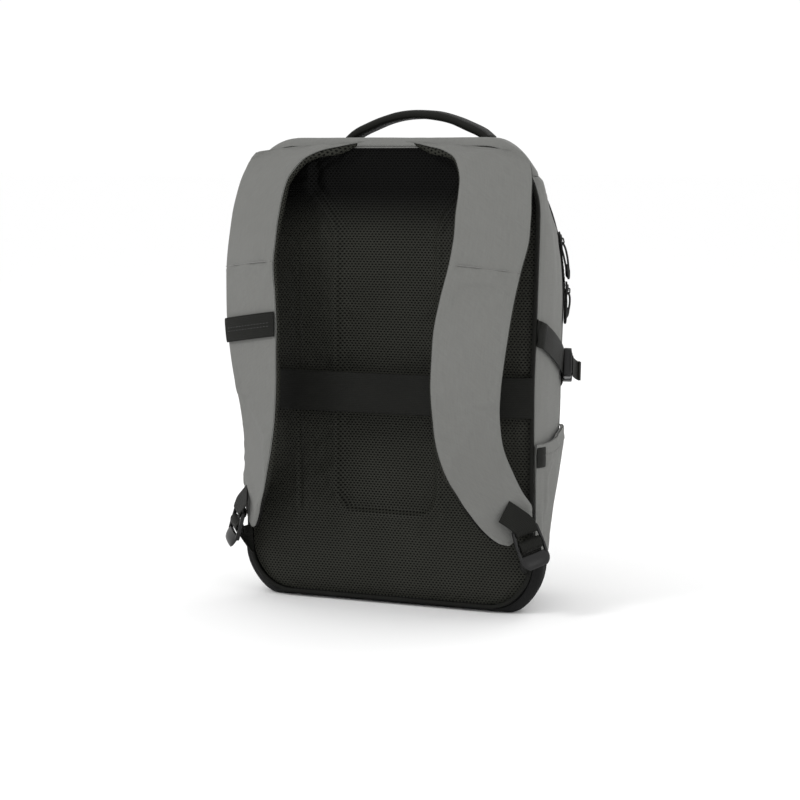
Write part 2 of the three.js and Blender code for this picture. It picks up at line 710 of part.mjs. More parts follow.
// Tab sewn on the tip of the strap and looped around the top bar of the lock
function endTab() {
  const clear = besideLock - GAP;
  const start = strapPoint(END_TAB_UP, 0, STRAP_CROWN + 2 * LAID_GAP + WEB_THICK / 2);
  const path = [
    start,
    start.clone().lerp(lock.at(lockTop - 2, clear), 0.5),
    lock.at(lockTop, clear),
    lock.at(barLow + WEB_THICK / 2, clear),
    lock.at(barLow + clear, 0),
    lock.at(barLow + WEB_THICK / 2, -clear),
    lock.at(lockTop - WEB_THICK, -clear),
  ];
  const strapAcross = strapPoint(END_TAB_UP, 0.1, 0).sub(strapPoint(END_TAB_UP, 0, 0)).normalize();
  const acrosses = path.map((_, i) => strapAcross.clone().lerp(lock.across, min(i / 2, 1)).normalize());
  return webbing(path, acrosses, WEB_WIDTH - 2 * GAP, WEB_THICK);
}

// How far down the lock the webbing leaves it
const webbingLow = lipTop + 0.4 * LOCK_LIP;

// Webbing that comes up behind the lip, over the middle bar and ends behind the lock
function lowerWebbing() {
  const path = [
    lock.at(webbingLow, -besideLock - WEB_SPREAD),
    lock.at(lipTop + 0.4 * WEB_THICK, -besideLock),
    lock.at(lipTop - 2 * WEB_THICK, WEB_THICK - besideLock),
    lock.at(middleLow + 1.7 * WEB_THICK, besideLock - 1.5 * WEB_THICK),
    lock.at(middleLow, besideLock),
    lock.at(middleTop, besideLock),
    lock.at(middleTop - 2 * WEB_THICK, 0),
    lock.at(middleTop, -besideLock),
    lock.at(middleLow + 2 * WEB_THICK, -besideLock - WEB_SPREAD),
  ];
  return webbing(path, path.map(() => lock.across), WEB_WIDTH - 2 * GAP, WEB_THICK);
}

// Three-cornered tab that ties the webbing to the seam beside the padded back
function webbingAnchor() {
  const from = lock.at(webbingLow + GAP, -besideLock - WEB_SPREAD - GAP);
  const edge = reach(sectionAt(0), ANCHOR_UP) - BINDING_WIDTH;
  const seam = point(edge, -BINDING_BACK - GAP - WEB_THICK / 2, ANCHOR_UP);
  const upright = point(0, 0, 1);
  const lines = [
    { middle: from, across: lock.across, wide: WEB_WIDTH },
    {
      middle: from.clone().lerp(seam, 0.5),
      across: lock.across.clone().lerp(upright, 0.5),
      wide: WEB_WIDTH,
    },
    { middle: seam, across: upright, wide: ANCHOR_TALL },
  ];
  const grid = lines.map(({ middle, across, wide }) =>
    [-0.5, 0, 0.5].map((s) => middle.clone().addScaledVector(across.clone().normalize(), s * wide)),
  );
  const normals = gridNormals(grid, lock.out);
  const half = WEB_THICK / 2;
  return sheet(lifted(grid, normals, () => half), lifted(grid, normals, () => -half));
}

// The rim of a side pocket rises towards the front
const pocketRim = (share) => POCKET_RIM_BACK + POCKET_RIM_RISE * sin((share * PI) / 2) ** 2;

function bottlePocket() {
  const alongs = steps(0, 1, 8);
  const ups = [0, 0.16, 0.34, 0.54, 0.76, 0.93, 1];
  const base = FOOT_SEAM + GAP;
  const wall = (lift) =>
    ups.map((rise) =>
      alongs.map((share) => {
        const depth = blend(POCKET_BACK, POCKET_FRONT, share);
        const up = blend(base, pocketRim(share), rise);
        const bulge = POCKET_BULGE * sqrt(sin(share * PI)) * rise;
        return sidePoint(depth, up, LAID_GAP + bulge + lift).place;
      }),
    );
  return sheet(wall(CLOTH), wall(0));
}

// A place on the side strap: it falls towards the front as it crosses the side
function sideStrapPoint(depth, lift) {
  const fall = (SIDE_STRAP_FALL * depth) / MAIN_SEAM;
  return sidePoint(depth, SIDE_STRAP_BACK_UP - fall, lift);
}

function sideStrap(from, to) {
  const spots = stations(from, to).map((d) => sideStrapPoint(d, LAID_GAP + WEB_THICK / 2));
  const along = spots[spots.length - 1].place.clone().sub(spots[0].place);
  const acrosses = spots.map((s) => along.clone().cross(s.normal).normalize());
  return webbing(spots.map((s) => s.place), acrosses, WEB_WIDTH, WEB_THICK);
}

// Frame of the side buckle, on the same fall as the strap
const buckleEnd = SIDE_STRAP_END + GAP + BUCKLE_LONG;
const buckle = (() => {
  const start = sideStrapPoint(SIDE_STRAP_END + GAP, LAID_GAP + WEB_THICK / 2).place;
  const end = sideStrapPoint(buckleEnd, LAID_GAP + WEB_THICK / 2).place;
  const along = end.clone().sub(start).normalize();
  const { normal } = sideStrapPoint((SIDE_STRAP_END + buckleEnd) / 2, 0);
  const across = normal.clone().cross(along).normalize();
  const out = along.clone().cross(across).normalize();
  return { along, across, out, centre: start.add(end).divideScalar(2) };
})();

function sideBuckle() {
  const half = BUCKLE_WIDE / 2;
  const end = BUCKLE_LONG / 2 - GAP;
  const notch = BUCKLE_NOTCH;
  const outline = new THREE.Shape();
  outline.moveTo(-end, -half + notch);
  outline.lineTo(-end / 3, -half);
  outline.lineTo(-end / 4, -half + notch);
  outline.lineTo(end / 4, -half + notch);
  outline.lineTo(end / 3, -half);
  outline.lineTo(end, -half + notch);
  outline.lineTo(end, half - notch);
  outline.lineTo(end / 3, half);
  outline.lineTo(end / 4, half - notch);
  outline.lineTo(-end / 4, half - notch);
  outline.lineTo(-end / 3, half);
  outline.lineTo(-end, half - notch);
  const geometry = new THREE.ExtrudeGeometry(outline, { depth: BUCKLE_THICK, bevelEnabled: false });
  return seated(geometry, buckle.along, buckle.across, buckle.out, buckle.centre);
}

// Loose end of the side strap, which leaves the face of the buckle and stands off the side
function strapTail() {
  const top = buckle.centre
    .clone()
    .addScaledVector(buckle.out, BUCKLE_THICK + GAP + WEB_THICK / 2)
    .addScaledVector(buckle.along, -BUCKLE_LONG * 0.1);
  const path = [0, 0.35, 0.7, 1].map((s) =>
    top.clone().addScaledVector(buckle.along, s * TAIL_LONG).addScaledVector(buckle.out, TAIL_LIFT * s * s),
  );
  return webbing(path, path.map(() => buckle.across), TAIL_WIDE, WEB_THICK);
}

function sideLabel() {
  const wall = (lift) =>
    [LABEL_UP, LABEL_UP + LABEL_TALL].map((up) =>
      stations(PANEL_START + GAP, POCKET_BACK - GAP).map(
        (depth) => sidePoint(depth, up, LAID_GAP + lift).place,
      ),
    );
  return sheet(wall(WEB_THICK / 2), wall(0));
}

// Zip tape laid over the seam between the sides and the front, from side to side over the top
function mainZip() {
  const depths = [MAIN_SEAM - ZIP_WIDTH / 2, MAIN_SEAM, MAIN_SEAM + ZIP_WIDTH / 2];
  const wall = (inset) =>
    depths.map((d) => {
      const section = sectionAt(d, inset);
      const start = crownAngle(section, ZIP_FOOT);
      const right = steps(start, PI / 2, 12).map((a) => crownPoint(section, d, a));
      return [...right, ...right.map(leftOf).reverse()];
    });
  return sheet(wall(-LAID_GAP - ZIP_THICK), wall(-LAID_GAP));
}

// Frame of a slider on the right-hand run of the zip
function sliderFrame(up) {
  const lift = LAID_GAP + ZIP_THICK + GAP;
  const { place, normal } = sidePoint(MAIN_SEAM, up, lift);
  const below = sidePoint(MAIN_SEAM, up - SLIDER_LONG, lift).place;
  const down = below.sub(place).normalize();
  const across = down.clone().cross(normal).normalize();
  return { place, normal: across.clone().cross(down).normalize(), down, across };
}

function zipSlider(up) {
  const { place, normal, down, across } = sliderFrame(up);
  const half = SLIDER_WIDE / 2;
  const end = SLIDER_LONG / 2;
  const outline = new THREE.Shape();
  outline.moveTo(-half, end);
  outline.lineTo(-half * 0.6, -end);
  outline.lineTo(half * 0.6, -end);
  outline.lineTo(half, end);
  const geometry = new THREE.ExtrudeGeometry(outline, { depth: SLIDER_THICK, bevelEnabled: false });
  return seated(geometry, across, down.clone().negate(), normal, place);
}

// Moulded loop that hangs from a slider
function zipPull(up, long, direction) {
  const { place, normal, down, across } = sliderFrame(up);
  const hang = direction.clone().normalize();
  const top = place
    .clone()
    .addScaledVector(normal, SLIDER_THICK + GAP + PULL_ROD / 2)
    .addScaledVector(down, SLIDER_LONG * 0.1);
  const half = PULL_WIDE / 2;
  const around = steps(0, 2 * PI, 12).slice(0, -1);
  const rings = around.map((angle) => {
    const end = sin(angle) > 0 ? 0 : long - PULL_WIDE;
    const centre = top
      .clone()
      .addScaledVector(hang, half - half * sin(angle) + end)
      .addScaledVector(across, half * cos(angle));
    const outward = across.clone().multiplyScalar(cos(angle)).addScaledVector(hang, -sin(angle)).normalize();
    return steps(0, 2 * PI, 5)
      .slice(0, -1)
      .map((turn) =>
        centre
          .clone()
          .addScaledVector(outward, (PULL_ROD / 2) * cos(turn))
          .addScaledVector(normal, (PULL_ROD / 2) * sin(turn)),
      );
  });
  return loft(rings, true);
}

// Grab handle: a padded loop whose two ends stand on the top panel
function topHandle() {
  const shares = [-1, -0.9, -0.7, -0.48, -0.24, 0, 0.24, 0.48, 0.7, 0.9, 1];
  const rises = [0, 0.24, 0.52, 0.78, 0.95, 1];
  const rise = (i) => rises[min(i, shares.length - 1 - i)];
  const top = (x, y) => {
    const section = sectionAt(y);
    const beyond = max(0, abs(x) / waist(section.top) - section.half + section.crownWide);
    const part = min(beyond / section.crownWide, 1);
    return section.top - section.crownTall * (1 - sqrt(1 - part * part));
  };
  const inner = HANDLE_HALF_SPAN - HANDLE_THICK / 2;
  const footBack = top(inner, HANDLE_PLACE - HANDLE_WIDE / 2);
  const footFront = top(inner, HANDLE_PLACE + HANDLE_WIDE / 2);
  const foot = footBack + GAP;
  const path = shares.map((s, i) => point(s * HANDLE_HALF_SPAN, HANDLE_PLACE, foot + HANDLE_RISE * rise(i)));
  const section = [
    [-0.5, -0.25], [-0.4, -0.5], [0, -0.5], [0.4, -0.5], [0.5, -0.25],
    [0.5, 0.25], [0.4, 0.5], [0, 0.5], [-0.4, 0.5], [-0.5, 0.25],
  ];
  const rings = path.map((p, i) => {
    const along = path[min(i + 1, path.length - 1)].clone().sub(path[max(i - 1, 0)]).normalize();
    const end = i === 0 || i === path.length - 1;
    const out = end ? point(sign(p.x), 0, 0) : point(0, 1, 0).cross(along).normalize();
    if (!end && out.z < 0) out.negate();
    return section.map(([wide, deep]) => {
      const spot = p.clone().addScaledVector(out, deep * HANDLE_THICK);
      spot.y += wide * HANDLE_WIDE;
      if (end) spot.z = blend(footBack, footFront, wide + 0.5) + LAID_GAP + GAP;
      return spot;
    });
  });
  return loft(rings);
}

addPiece('back_panel', backPanel(), BLACK_MESH);
addPiece('back_binding', backBinding(), BLACK_CLOTH);
addPiece('luggage_band', luggageBand(), BLACK_WEBBING);
addPair('side_panel', sidePanel(), GREY_CLOTH);
addPiece('top_panel', topPanel(), GREY_CLOTH);
addPiece('base_panel', basePanel(), BLACK_CLOTH);
addPiece('front_panel', frontPanel(), GREY_CLOTH);
addPiece('main_zip', mainZip(), BLACK_CLOTH);
['upper', 'lower'].forEach((level, i) => {
  addPiece(`zip_slider_${level}`, zipSlider(SLIDER_UPS[i]), BLACK_PLASTIC);
  addPiece(`zip_pull_${level}`, zipPull(SLIDER_UPS[i], PULL_LONGS[i], PULL_HANGS[i]), BLACK_PLASTIC);
});
addPair('bottle_pocket', bottlePocket(), GREY_CLOTH);
addPiece('side_label', sideLabel(), BLACK_CLOTH);
addPair('strap_face', strapFace(), GREY_CLOTH);
addPair('strap_lining', strapLining(), BLACK_MESH);
addPiece('strap_sleeve', strapSleeve(), BLACK_WEBBING);
addPair('strap_end_tab', endTab(), BLACK_WEBBING);
addPair('ladder_lock', ladderLock(), BLACK_PLASTIC);
addPair('lower_webbing', lowerWebbing(), BLACK_WEBBING);
addPair('webbing_anchor', webbingAnchor(), BLACK_WEBBING);
addPair('side_strap', sideStrap(PANEL_START + SIDE_STRAP_INSET, SIDE_STRAP_END), BLACK_WEBBING);
addPair('side_strap_front', sideStrap(buckleEnd + GAP, buckleEnd + STUB_LONG), BLACK_WEBBING);
addPair('side_buckle', sideBuckle(), BLACK_PLASTIC);
addPair('strap_tail', strapTail(), BLACK_WEBBING);
addPiece('top_handle', topHandle(), BLACK_WEBBING);

bag.position.y = -BODY_DEPTH / 2;

export default bag;
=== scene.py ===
import math

import bpy
import numpy as np
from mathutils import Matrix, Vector, noise


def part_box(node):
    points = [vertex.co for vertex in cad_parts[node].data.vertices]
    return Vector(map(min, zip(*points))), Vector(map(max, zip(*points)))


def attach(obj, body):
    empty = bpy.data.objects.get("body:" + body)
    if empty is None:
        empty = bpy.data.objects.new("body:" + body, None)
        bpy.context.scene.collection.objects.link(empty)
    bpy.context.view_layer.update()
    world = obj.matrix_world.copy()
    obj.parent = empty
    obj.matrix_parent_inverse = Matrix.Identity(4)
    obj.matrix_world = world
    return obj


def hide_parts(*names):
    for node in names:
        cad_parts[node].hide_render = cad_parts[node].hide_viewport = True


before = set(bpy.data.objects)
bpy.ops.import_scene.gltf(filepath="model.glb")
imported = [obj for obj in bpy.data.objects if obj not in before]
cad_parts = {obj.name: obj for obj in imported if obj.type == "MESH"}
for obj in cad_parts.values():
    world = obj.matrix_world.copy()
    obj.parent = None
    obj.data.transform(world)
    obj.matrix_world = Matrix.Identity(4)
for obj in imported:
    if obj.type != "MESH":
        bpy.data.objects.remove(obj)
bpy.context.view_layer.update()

# Sizes are in millimetres, with the padded back on the plane y = 0 and the bag behind it.
# MM and HALF_DEPTH bring them into the frame.
MM = 0.001
BODY_HALF_WIDTH = 160
BODY_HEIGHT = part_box("top_panel")[1].z / MM
BODY_DEPTH = 2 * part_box("front_panel")[1].y / MM
HALF_DEPTH = BODY_DEPTH / 2
GAP = 0.4
CLOTH = 2
CROWN_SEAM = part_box("side_panel_right")[1].z / MM
FOOT_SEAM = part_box("side_panel_right")[0].z / MM
MAIN_SEAM = 112
PANEL_START = 2.8
RIGHT = 1
LEFT = -1
SIDES = ((RIGHT, "right"), (LEFT, "left"))


# Camera at the photograph's viewing angle
CAMERA_AZIMUTH = math.radians(23)
CAMERA_ELEVATION = math.radians(6.46)
CAMERA_DISTANCE = 2.12
CAMERA_TARGET = Vector((0.0145, -0.084, 0.209))
CAMERA_LENS = 95.4


def make_camera():
    data = bpy.data.cameras.new("camera")
    data.lens = CAMERA_LENS
    data.sensor_width = 36
    camera = bpy.data.objects.new("camera", data)
    bpy.context.scene.collection.objects.link(camera)
    flat = math.cos(CAMERA_ELEVATION)
    away = Vector((
        math.sin(CAMERA_AZIMUTH) * flat,
        -math.cos(CAMERA_AZIMUTH) * flat,
        math.sin(CAMERA_ELEVATION),
    ))
    camera.location = CAMERA_TARGET + away * CAMERA_DISTANCE
    camera.rotation_euler = (-away).to_track_quat("-Z", "Y").to_euler()
    bpy.context.scene.camera = camera


make_camera()


# Curves through points and tables

def through(xs, ys, at, monotone=False):
    """Values at places on a smooth curve through a table's rows, without overshoot if monotone."""
    xs = np.asarray(xs, float)
    ys = np.asarray(ys, float)
    step = np.diff(xs)
    rise = np.diff(ys, axis=0) / (step if ys.ndim == 1 else step[:, None])
    slope = np.zeros_like(ys)
    slope[0], slope[-1] = rise[0], rise[-1]
    slope[1:-1] = (rise[:-1] + rise[1:]) / 2
    if monotone:
        product = rise[:-1] * rise[1:]
        total = np.where(product > 0, rise[:-1] + rise[1:], 1)
        slope[1:-1] = np.where(product > 0, 2 * product / total, 0)
    at = np.clip(np.asarray(at, float), xs[0], xs[-1])
    i = np.clip(np.searchsorted(xs, at, side="right") - 1, 0, len(step) - 1)
    t = (at - xs[i]) / step[i]
    h = step[i]
    if ys.ndim > 1:
        t, h = t[..., None], h[..., None]
    return (
        (2 * t**3 - 3 * t**2 + 1) * ys[i]
        + (t**3 - 2 * t**2 + t) * h * slope[i]
        + (3 * t**2 - 2 * t**3) * ys[i + 1]
        + (t**3 - t**2) * h * slope[i + 1]
    )


def lengths_along(points):
    """Distance along a path of points at each of them."""
    steps = np.linalg.norm(np.diff(points, axis=0), axis=1)
    return np.concatenate([[0], np.cumsum(steps)])


def read_along(values, run, at):
    """Points of a path, read at distances along it."""
    return np.stack([np.interp(at, run, values[:, k]) for k in range(3)], axis=-1)


def smooth_path(points, count):
    """Evenly spread points on a smooth curve through a few points."""
    points = np.asarray(points, float)
    lengths = lengths_along(points)
    fine = through(lengths, points, np.linspace(0, lengths[-1], 20 * count))
    run = lengths_along(fine)
    return read_along(fine, run, np.linspace(0, run[-1], count))


def smooth_loop(points, count):
    """Evenly spread points on a closed smooth curve through a few points."""
    points = np.asarray(points, float)
    wrapped = np.concatenate([points[-2:], points, points[:3]])
    run = lengths_along(wrapped)
    return through(run, wrapped, np.linspace(run[2], run[-3], count + 1)[:-1])


def unit(vectors):
    return vectors / np.maximum(np.linalg.norm(vectors, axis=-1, keepdims=True), 1e-9)


def ramp(value, start, end):
    """0 below start and 1 above end, with a smooth step between."""
    t = np.clip((np.asarray(value, float) - start) / (end - start), 0, 1)
    return t * t * (3 - 2 * t)


def bump(value, middle, half):
    """1 in the middle, falling smoothly to nothing at a distance."""
    return 1 - ramp(np.abs(np.asarray(value, float) - middle), 0, half)


def turns(count):
    """Angles spread evenly round a circle."""
    return np.linspace(0, 2 * math.pi, count + 1)[:-1]


def squared(wave, power):
    """A sine or cosine whose power under 1 swells a circle towards a rounded square."""
    return np.sign(wave) * np.abs(wave) ** power


def crumple(points, size, seed, stretch=(1, 1, 1)):
    """Smooth noise from -1 to 1 over points, with its size in millimetres along each axis."""
    flat = np.asarray(points, float).reshape(-1, 3) / (size * np.array(stretch, float))
    values = [noise.noise(Vector(p) + Vector((seed * 17.3, seed * 5.1, seed * 9.7))) for p in flat]
    return np.array(values).reshape(np.asarray(points).shape[:-1])


# Meshes from grids and rings of points

def raw_normals(grid):
    return unit(np.cross(np.gradient(grid, axis=0), np.gradient(grid, axis=1)))


def grid_normals(grid, outward):
    normals = raw_normals(grid)
    facing = np.sign((normals * outward).sum(axis=-1, keepdims=True))
    return normals * np.where(facing == 0, 1, facing)


def lay_of(grid):
    """How the cloth lies on a grid: millimetres across and along it at each point."""
    across = np.cumsum(np.linalg.norm(np.diff(grid, axis=1, prepend=grid[:, :1]), axis=2), axis=1)
    across -= across[:, -1:] / 2
    along = np.cumsum(np.linalg.norm(np.diff(grid, axis=0, prepend=grid[:1]), axis=2), axis=0)
    return np.stack([across, along, np.zeros_like(across)], axis=-1)


def quads_of(index, around=False):
    """Faces of a grid of point numbers, joined round its columns if asked."""
    if around:
        index = np.concatenate([index, index[:, :1]], axis=1)
    a, b = index[:-1, :-1], index[:-1, 1:]
    c, d = index[1:, 1:], index[1:, :-1]
    return np.stack([a, b, c, d], axis=-1).reshape(-1, 4).tolist()


def outward_faces(points, faces):
    """The faces of a closed body, turned so that they point out."""
    volume = 0
    for face in faces:
        a = points[face[0]]
        for k in range(1, len(face) - 1):
            volume += np.dot(a, np.cross(points[face[k]], points[face[k + 1]]))
    return faces if volume > 0 else [face[::-1] for face in faces]


def sheet_body(front, back, lay=None):
    """A sheet with a front and a back grid, closed along its four borders."""
    rows, columns = front.shape[:2]
    f = np.arange(rows * columns).reshape(rows, columns)
    b = f + rows * columns
    rim = np.concatenate([f[0, :], f[1:, -1], f[-1, -2::-1], f[-2:0:-1, 0]])
    edge = np.stack([rim, rim + rows * columns])
    faces = quads_of(f) + [q[::-1] for q in quads_of(b)] + quads_of(edge, around=True)
    points = np.concatenate([front.reshape(-1, 3), back.reshape(-1, 3)])
    flat = (lay_of(front) if lay is None else lay).reshape(-1, 3)
    return points, faces, np.concatenate([flat, flat])


def ring_body(rings, looped=False, lay=None):
    """A body through rings of equally many points, with closed ends, or joined end to start."""
    count, around = rings.shape[:2]
    index = np.arange(count * around).reshape(count, around)
    if looped:
        faces = quads_of(np.concatenate([index, index[:1]]), around=True)
    else:
        faces = quads_of(index, around=True) + [index[0][::-1].tolist(), index[-1].tolist()]
    return rings.reshape(-1, 3), faces, (lay_of(rings) if lay is None else lay).reshape(-1, 3)


def join_bodies(bodies):
    points, faces, lays, start = [], [], [], 0
    for body_points, body_faces, body_lay in bodies:
        turned = outward_faces(body_points, body_faces)
        faces += [[start + i for i in face] for face in turned]
        points.append(body_points)
        lays.append(body_lay)
        start += len(body_points)
    return np.concatenate(points), faces, np.concatenate(lays)


# A direction that no rod of the bag runs along
ASKEW = (0.31, 0.9, 0.2)


def strand(points, radius, looped=False, around=10):
    """A round moulded rod along points."""
    points = np.asarray(points, float)
    if looped:
        tangents = unit(np.roll(points, -1, axis=0) - np.roll(points, 1, axis=0))
    else:
        tangents = unit(np.gradient(points, axis=0))
    away = unit(np.cross(tangents, np.array(ASKEW)))
    beside = np.cross(tangents, away)
    turn = turns(around)[None, :, None]
    radius = np.broadcast_to(np.asarray(radius, float), (len(points),))[:, None, None]
    round_it = away[:, None, :] * np.cos(turn) + beside[:, None, :] * np.sin(turn)
    return ring_body(points[:, None, :] + radius * round_it, looped=looped)


def flipped(points, side):
    """Points drawn for the right side, on the side asked for."""
    return points * np.array([side, 1, 1])


def on_side(body, side):
    points, faces, lay = body
    return flipped(points, side), faces, lay


def placed_in(body, centre, x_axis, y_axis, z_axis):
    """A body drawn in a frame of its own, brought to its place on the bag."""
    points, faces, lay = body
    placed = centre + points[:, 0:1] * x_axis + points[:, 1:2] * y_axis + points[:, 2:3] * z_axis
    return placed, faces, lay


def add_piece(name, body, material, nodes, crease=None):
    """Makes a body into a piece of the bag that stands for CAD nodes."""
    points, faces, lay = body
    faces = outward_faces(points, faces)
    mesh = bpy.data.meshes.new(name)
    placed = (points - np.array([0, HALF_DEPTH, 0])) * MM
    mesh.from_pydata(placed.tolist(), [], faces)
    mesh.update()
    attribute = mesh.attributes.new("lay", "FLOAT_VECTOR", "POINT")
    attribute.data.foreach_set("vector", lay.astype(np.float32).ravel())
    mesh.shade_smooth()
    if crease is not None:
        mesh.set_sharp_from_angle(angle=math.radians(crease))
    mesh.materials.append(material)
    piece = bpy.data.objects.new(name, mesh)
    bpy.context.scene.collection.objects.link(piece)
    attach(piece, "root")
    if nodes:
        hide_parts(*nodes)
    return piece


def add_pair(name, body, material, node=None, crease=None):
    """A piece on each side of the bag. The side's word ends its name and its node's."""
    return [
        add_piece(f"{name}_{word}", on_side(body, side), material,
                  [f"{node}_{word}"] if node else [], crease)
        for side, word in SIDES
    ]


# Material helpers

class Shading:
    """Short calls for the nodes of one material or group."""

    def __init__(self, tree):
        self.tree = tree

    def node(self, kind, **settings):
        made = self.tree.nodes.new(kind)
        for key, value in settings.items():
            setattr(made, key, value)
        return made

    def join(self, source, socket):
        self.tree.links.new(source, socket)

    def put(self, socket, value):
        if isinstance(value, bpy.types.NodeSocket):
            self.join(value, socket)
        else:
            socket.default_value = value

    def math(self, operation, a, b=0.0, c=0.0):
        made = self.node("ShaderNodeMath", operation=operation)
        for socket, value in zip(made.inputs, (a, b, c)):
            self.put(socket, value)
        return made.outputs[0]

    def between(self, value, from_low, from_high, to_low=0.0, to_high=1.0):
        made = self.node("ShaderNodeMapRange", interpolation_type="SMOOTHSTEP")
        for socket, amount in zip(made.inputs, (value, from_low, from_high, to_low, to_high)):
            self.put(socket, amount)
        return made.outputs[0]

    def mix(self, share, a, b):
        made = self.node("ShaderNodeMix", data_type="RGBA")
        self.put(made.inputs["Factor"], share)
        self.put(made.inputs[6], a)
        self.put(made.inputs[7], b)
        return made.outputs[2]

    def noise(self, place, scale, detail=3.0):
        made = self.node("ShaderNodeTexNoise")
        self.join(place, made.inputs["Vector"])
        self.put(made.inputs["Scale"], scale)
        made.inputs["Detail"].default_value = detail
        return made.outputs["Fac"]


def new_group(name, inputs, outputs):
    """A shader node group with named inputs, as (name, value) pairs, and named outputs."""
    tree = bpy.data.node_groups.new(name, "ShaderNodeTree")
    for label, value in inputs:
        kind = "NodeSocketVector" if value is None else "NodeSocketFloat"
        socket = tree.interface.new_socket(label, in_out="INPUT", socket_type=kind)
        if value is not None:
            socket.default_value = value
    for label in outputs:
        tree.interface.new_socket(label, in_out="OUTPUT", socket_type="NodeSocketFloat")
    shade = Shading(tree)
    return shade, shade.node("NodeGroupInput").outputs, shade.node("NodeGroupOutput").inputs


def plain_weave_group():
    """Threads that pass over and under each other, some thicker than others."""
    shade, given, out = new_group(
        "plain_weave", [("Lay", None), ("Thread", 0.7), ("Slub", 0.2)], ["Height", "Shade"]
    )
    place = shade.node("ShaderNodeSeparateXYZ")
    shade.join(given["Lay"], place.inputs[0])
    turns = shade.math("DIVIDE", math.pi, given["Thread"])
    warp = shade.math("SINE", shade.math("MULTIPLY", place.outputs["X"], turns))
    weft = shade.math("SINE", shade.math("MULTIPLY", place.outputs["Y"], turns))
    height = shade.math("MULTIPLY_ADD", shade.math("MULTIPLY", warp, weft), 0.5, 0.5)
    long_way = shade.node("ShaderNodeMapping")
    long_way.inputs["Scale"].default_value = (0.9, 0.06, 1)
    shade.join(given["Lay"], long_way.inputs["Vector"])
    cross_way = shade.node("ShaderNodeMapping")
    cross_way.inputs["Scale"].default_value = (0.06, 0.9, 1)
    shade.join(given["Lay"], cross_way.inputs["Vector"])
    slubs = shade.math(
        "ADD",
        shade.noise(long_way.outputs[0], 1.0),
        shade.noise(cross_way.outputs[0], 1.0),
    )
    uneven = shade.math("MULTIPLY", shade.math("SUBTRACT", slubs, 1.0), given["Slub"])
    shade.join(shade.math("ADD", height, uneven), out["Height"])
    darker = shade.math("MULTIPLY_ADD", height, 0.12, 0.94)
    shade.join(shade.math("ADD", darker, uneven), out["Shade"])
    return shade.tree


def spacer_mesh_group():
    """Rows of small round holes, each row shifted by half a step."""
    shade, given, out = new_group(
        "spacer_mesh", [("Lay", None), ("Across", 4.0), ("Along", 3.0)], ["Hole", "Height"]
    )
    place = shade.node("ShaderNodeSeparateXYZ")
    shade.join(given["Lay"], place.inputs[0])
    row = shade.math("DIVIDE", place.outputs["Y"], given["Along"])
    odd = shade.math("MULTIPLY", shade.math("MODULO", shade.math("FLOOR", row), 2.0), 0.5)
    column = shade.math("ADD", shade.math("DIVIDE", place.outputs["X"], given["Across"]), odd)
    off_row = shade.math("SUBTRACT", shade.math("FRACT", row), 0.5)
    off_column = shade.math("SUBTRACT", shade.math("FRACT", column), 0.5)
    squares = shade.math(
        "ADD", shade.math("MULTIPLY", off_row, off_row), shade.math("MULTIPLY", off_column, off_column)
    )
    distance = shade.math("SQRT", squares)
    hole = shade.between(distance, 0.12, 0.36, 1.0, 0.0)
    shade.join(hole, out["Hole"])
    shade.join(shade.math("SUBTRACT", 1.0, hole), out["Height"])
    return shade.tree


def webbing_group():
    """Lengthwise cords of a woven webbing, with a slanting weave on them."""
    shade, given, out = new_group(
        "webbing_ribs", [("Lay", None), ("Rib", 1.6), ("Slant", 1.0)], ["Height", "Shade"]
    )
    place = shade.node("ShaderNodeSeparateXYZ")
    shade.join(given["Lay"], place.inputs[0])
    turns = shade.math("DIVIDE", 2 * math.pi, given["Rib"])
    cords = shade.math("SINE", shade.math("MULTIPLY", place.outputs["X"], turns))
    slanted = shade.math("ADD", place.outputs["Y"], shade.math("ABSOLUTE", cords))
    weave = shade.math("SINE", shade.math("MULTIPLY", slanted, 2 * math.pi))
    weave = shade.math("MULTIPLY", weave, given["Slant"])
    total = shade.math("MULTIPLY_ADD", cords, 0.35, shade.math("MULTIPLY", weave, 0.15))
    height = shade.math("ADD", total, 0.5)
    shade.join(height, out["Height"])
    shade.join(shade.math("MULTIPLY_ADD", height, 0.5, 0.75), out["Shade"])
    return shade.tree


def wear_group():
    """Patches where the finish has faded or been rubbed, and fine specks of dust."""
    shade, given, out = new_group("wear", [("Patch", 14.0), ("Amount", 0.1)], ["Fade", "Dust"])
    place = shade.node("ShaderNodeTexCoord").outputs["Object"]
    patches = shade.noise(place, given["Patch"], 4.0)
    fade = shade.between(patches, 0.35, 0.7, 0.0, given["Amount"])
    shade.join(fade, out["Fade"])
    specks = shade.noise(place, 900.0, 2.0)
    shade.join(shade.between(specks, 0.68, 0.8, 0.0, given["Amount"]), out["Dust"])
    return shade.tree


WEAVE = plain_weave_group()
SPACER = spacer_mesh_group()
RIBS = webbing_group()
WEAR = wear_group()


def new_material(name, roughness, **sockets):
    """A material with its Principled BSDF, and its uniform values on the shader's own sockets."""
    material = bpy.data.materials.new(name)
    material.use_nodes = True
    shade = Shading(material.node_tree)
    shader = material.node_tree.nodes["Principled BSDF"]
    shader.inputs["Roughness"].default_value = roughness
    for label, value in sockets.items():
        shader.inputs[label.replace("_", " ")].default_value = value
    return material, shade, shader


def use_group(shade, group, **values):
    made = shade.node("ShaderNodeGroup")
    made.node_tree = group
    for label, value in values.items():
        shade.put(made.inputs[label], value)
    return made.outputs


def lay_place(shade):
    return shade.node("ShaderNodeAttribute", attribute_name="lay").outputs["Vector"]


def add_bump(shade, shader, height, strength, distance):
    made = shade.node("ShaderNodeBump")
    made.inputs["Strength"].default_value = strength
    made.inputs["Distance"].default_value = distance
    shade.join(height, made.inputs["Height"])
    shade.join(made.outputs[0], shader.inputs["Normal"])


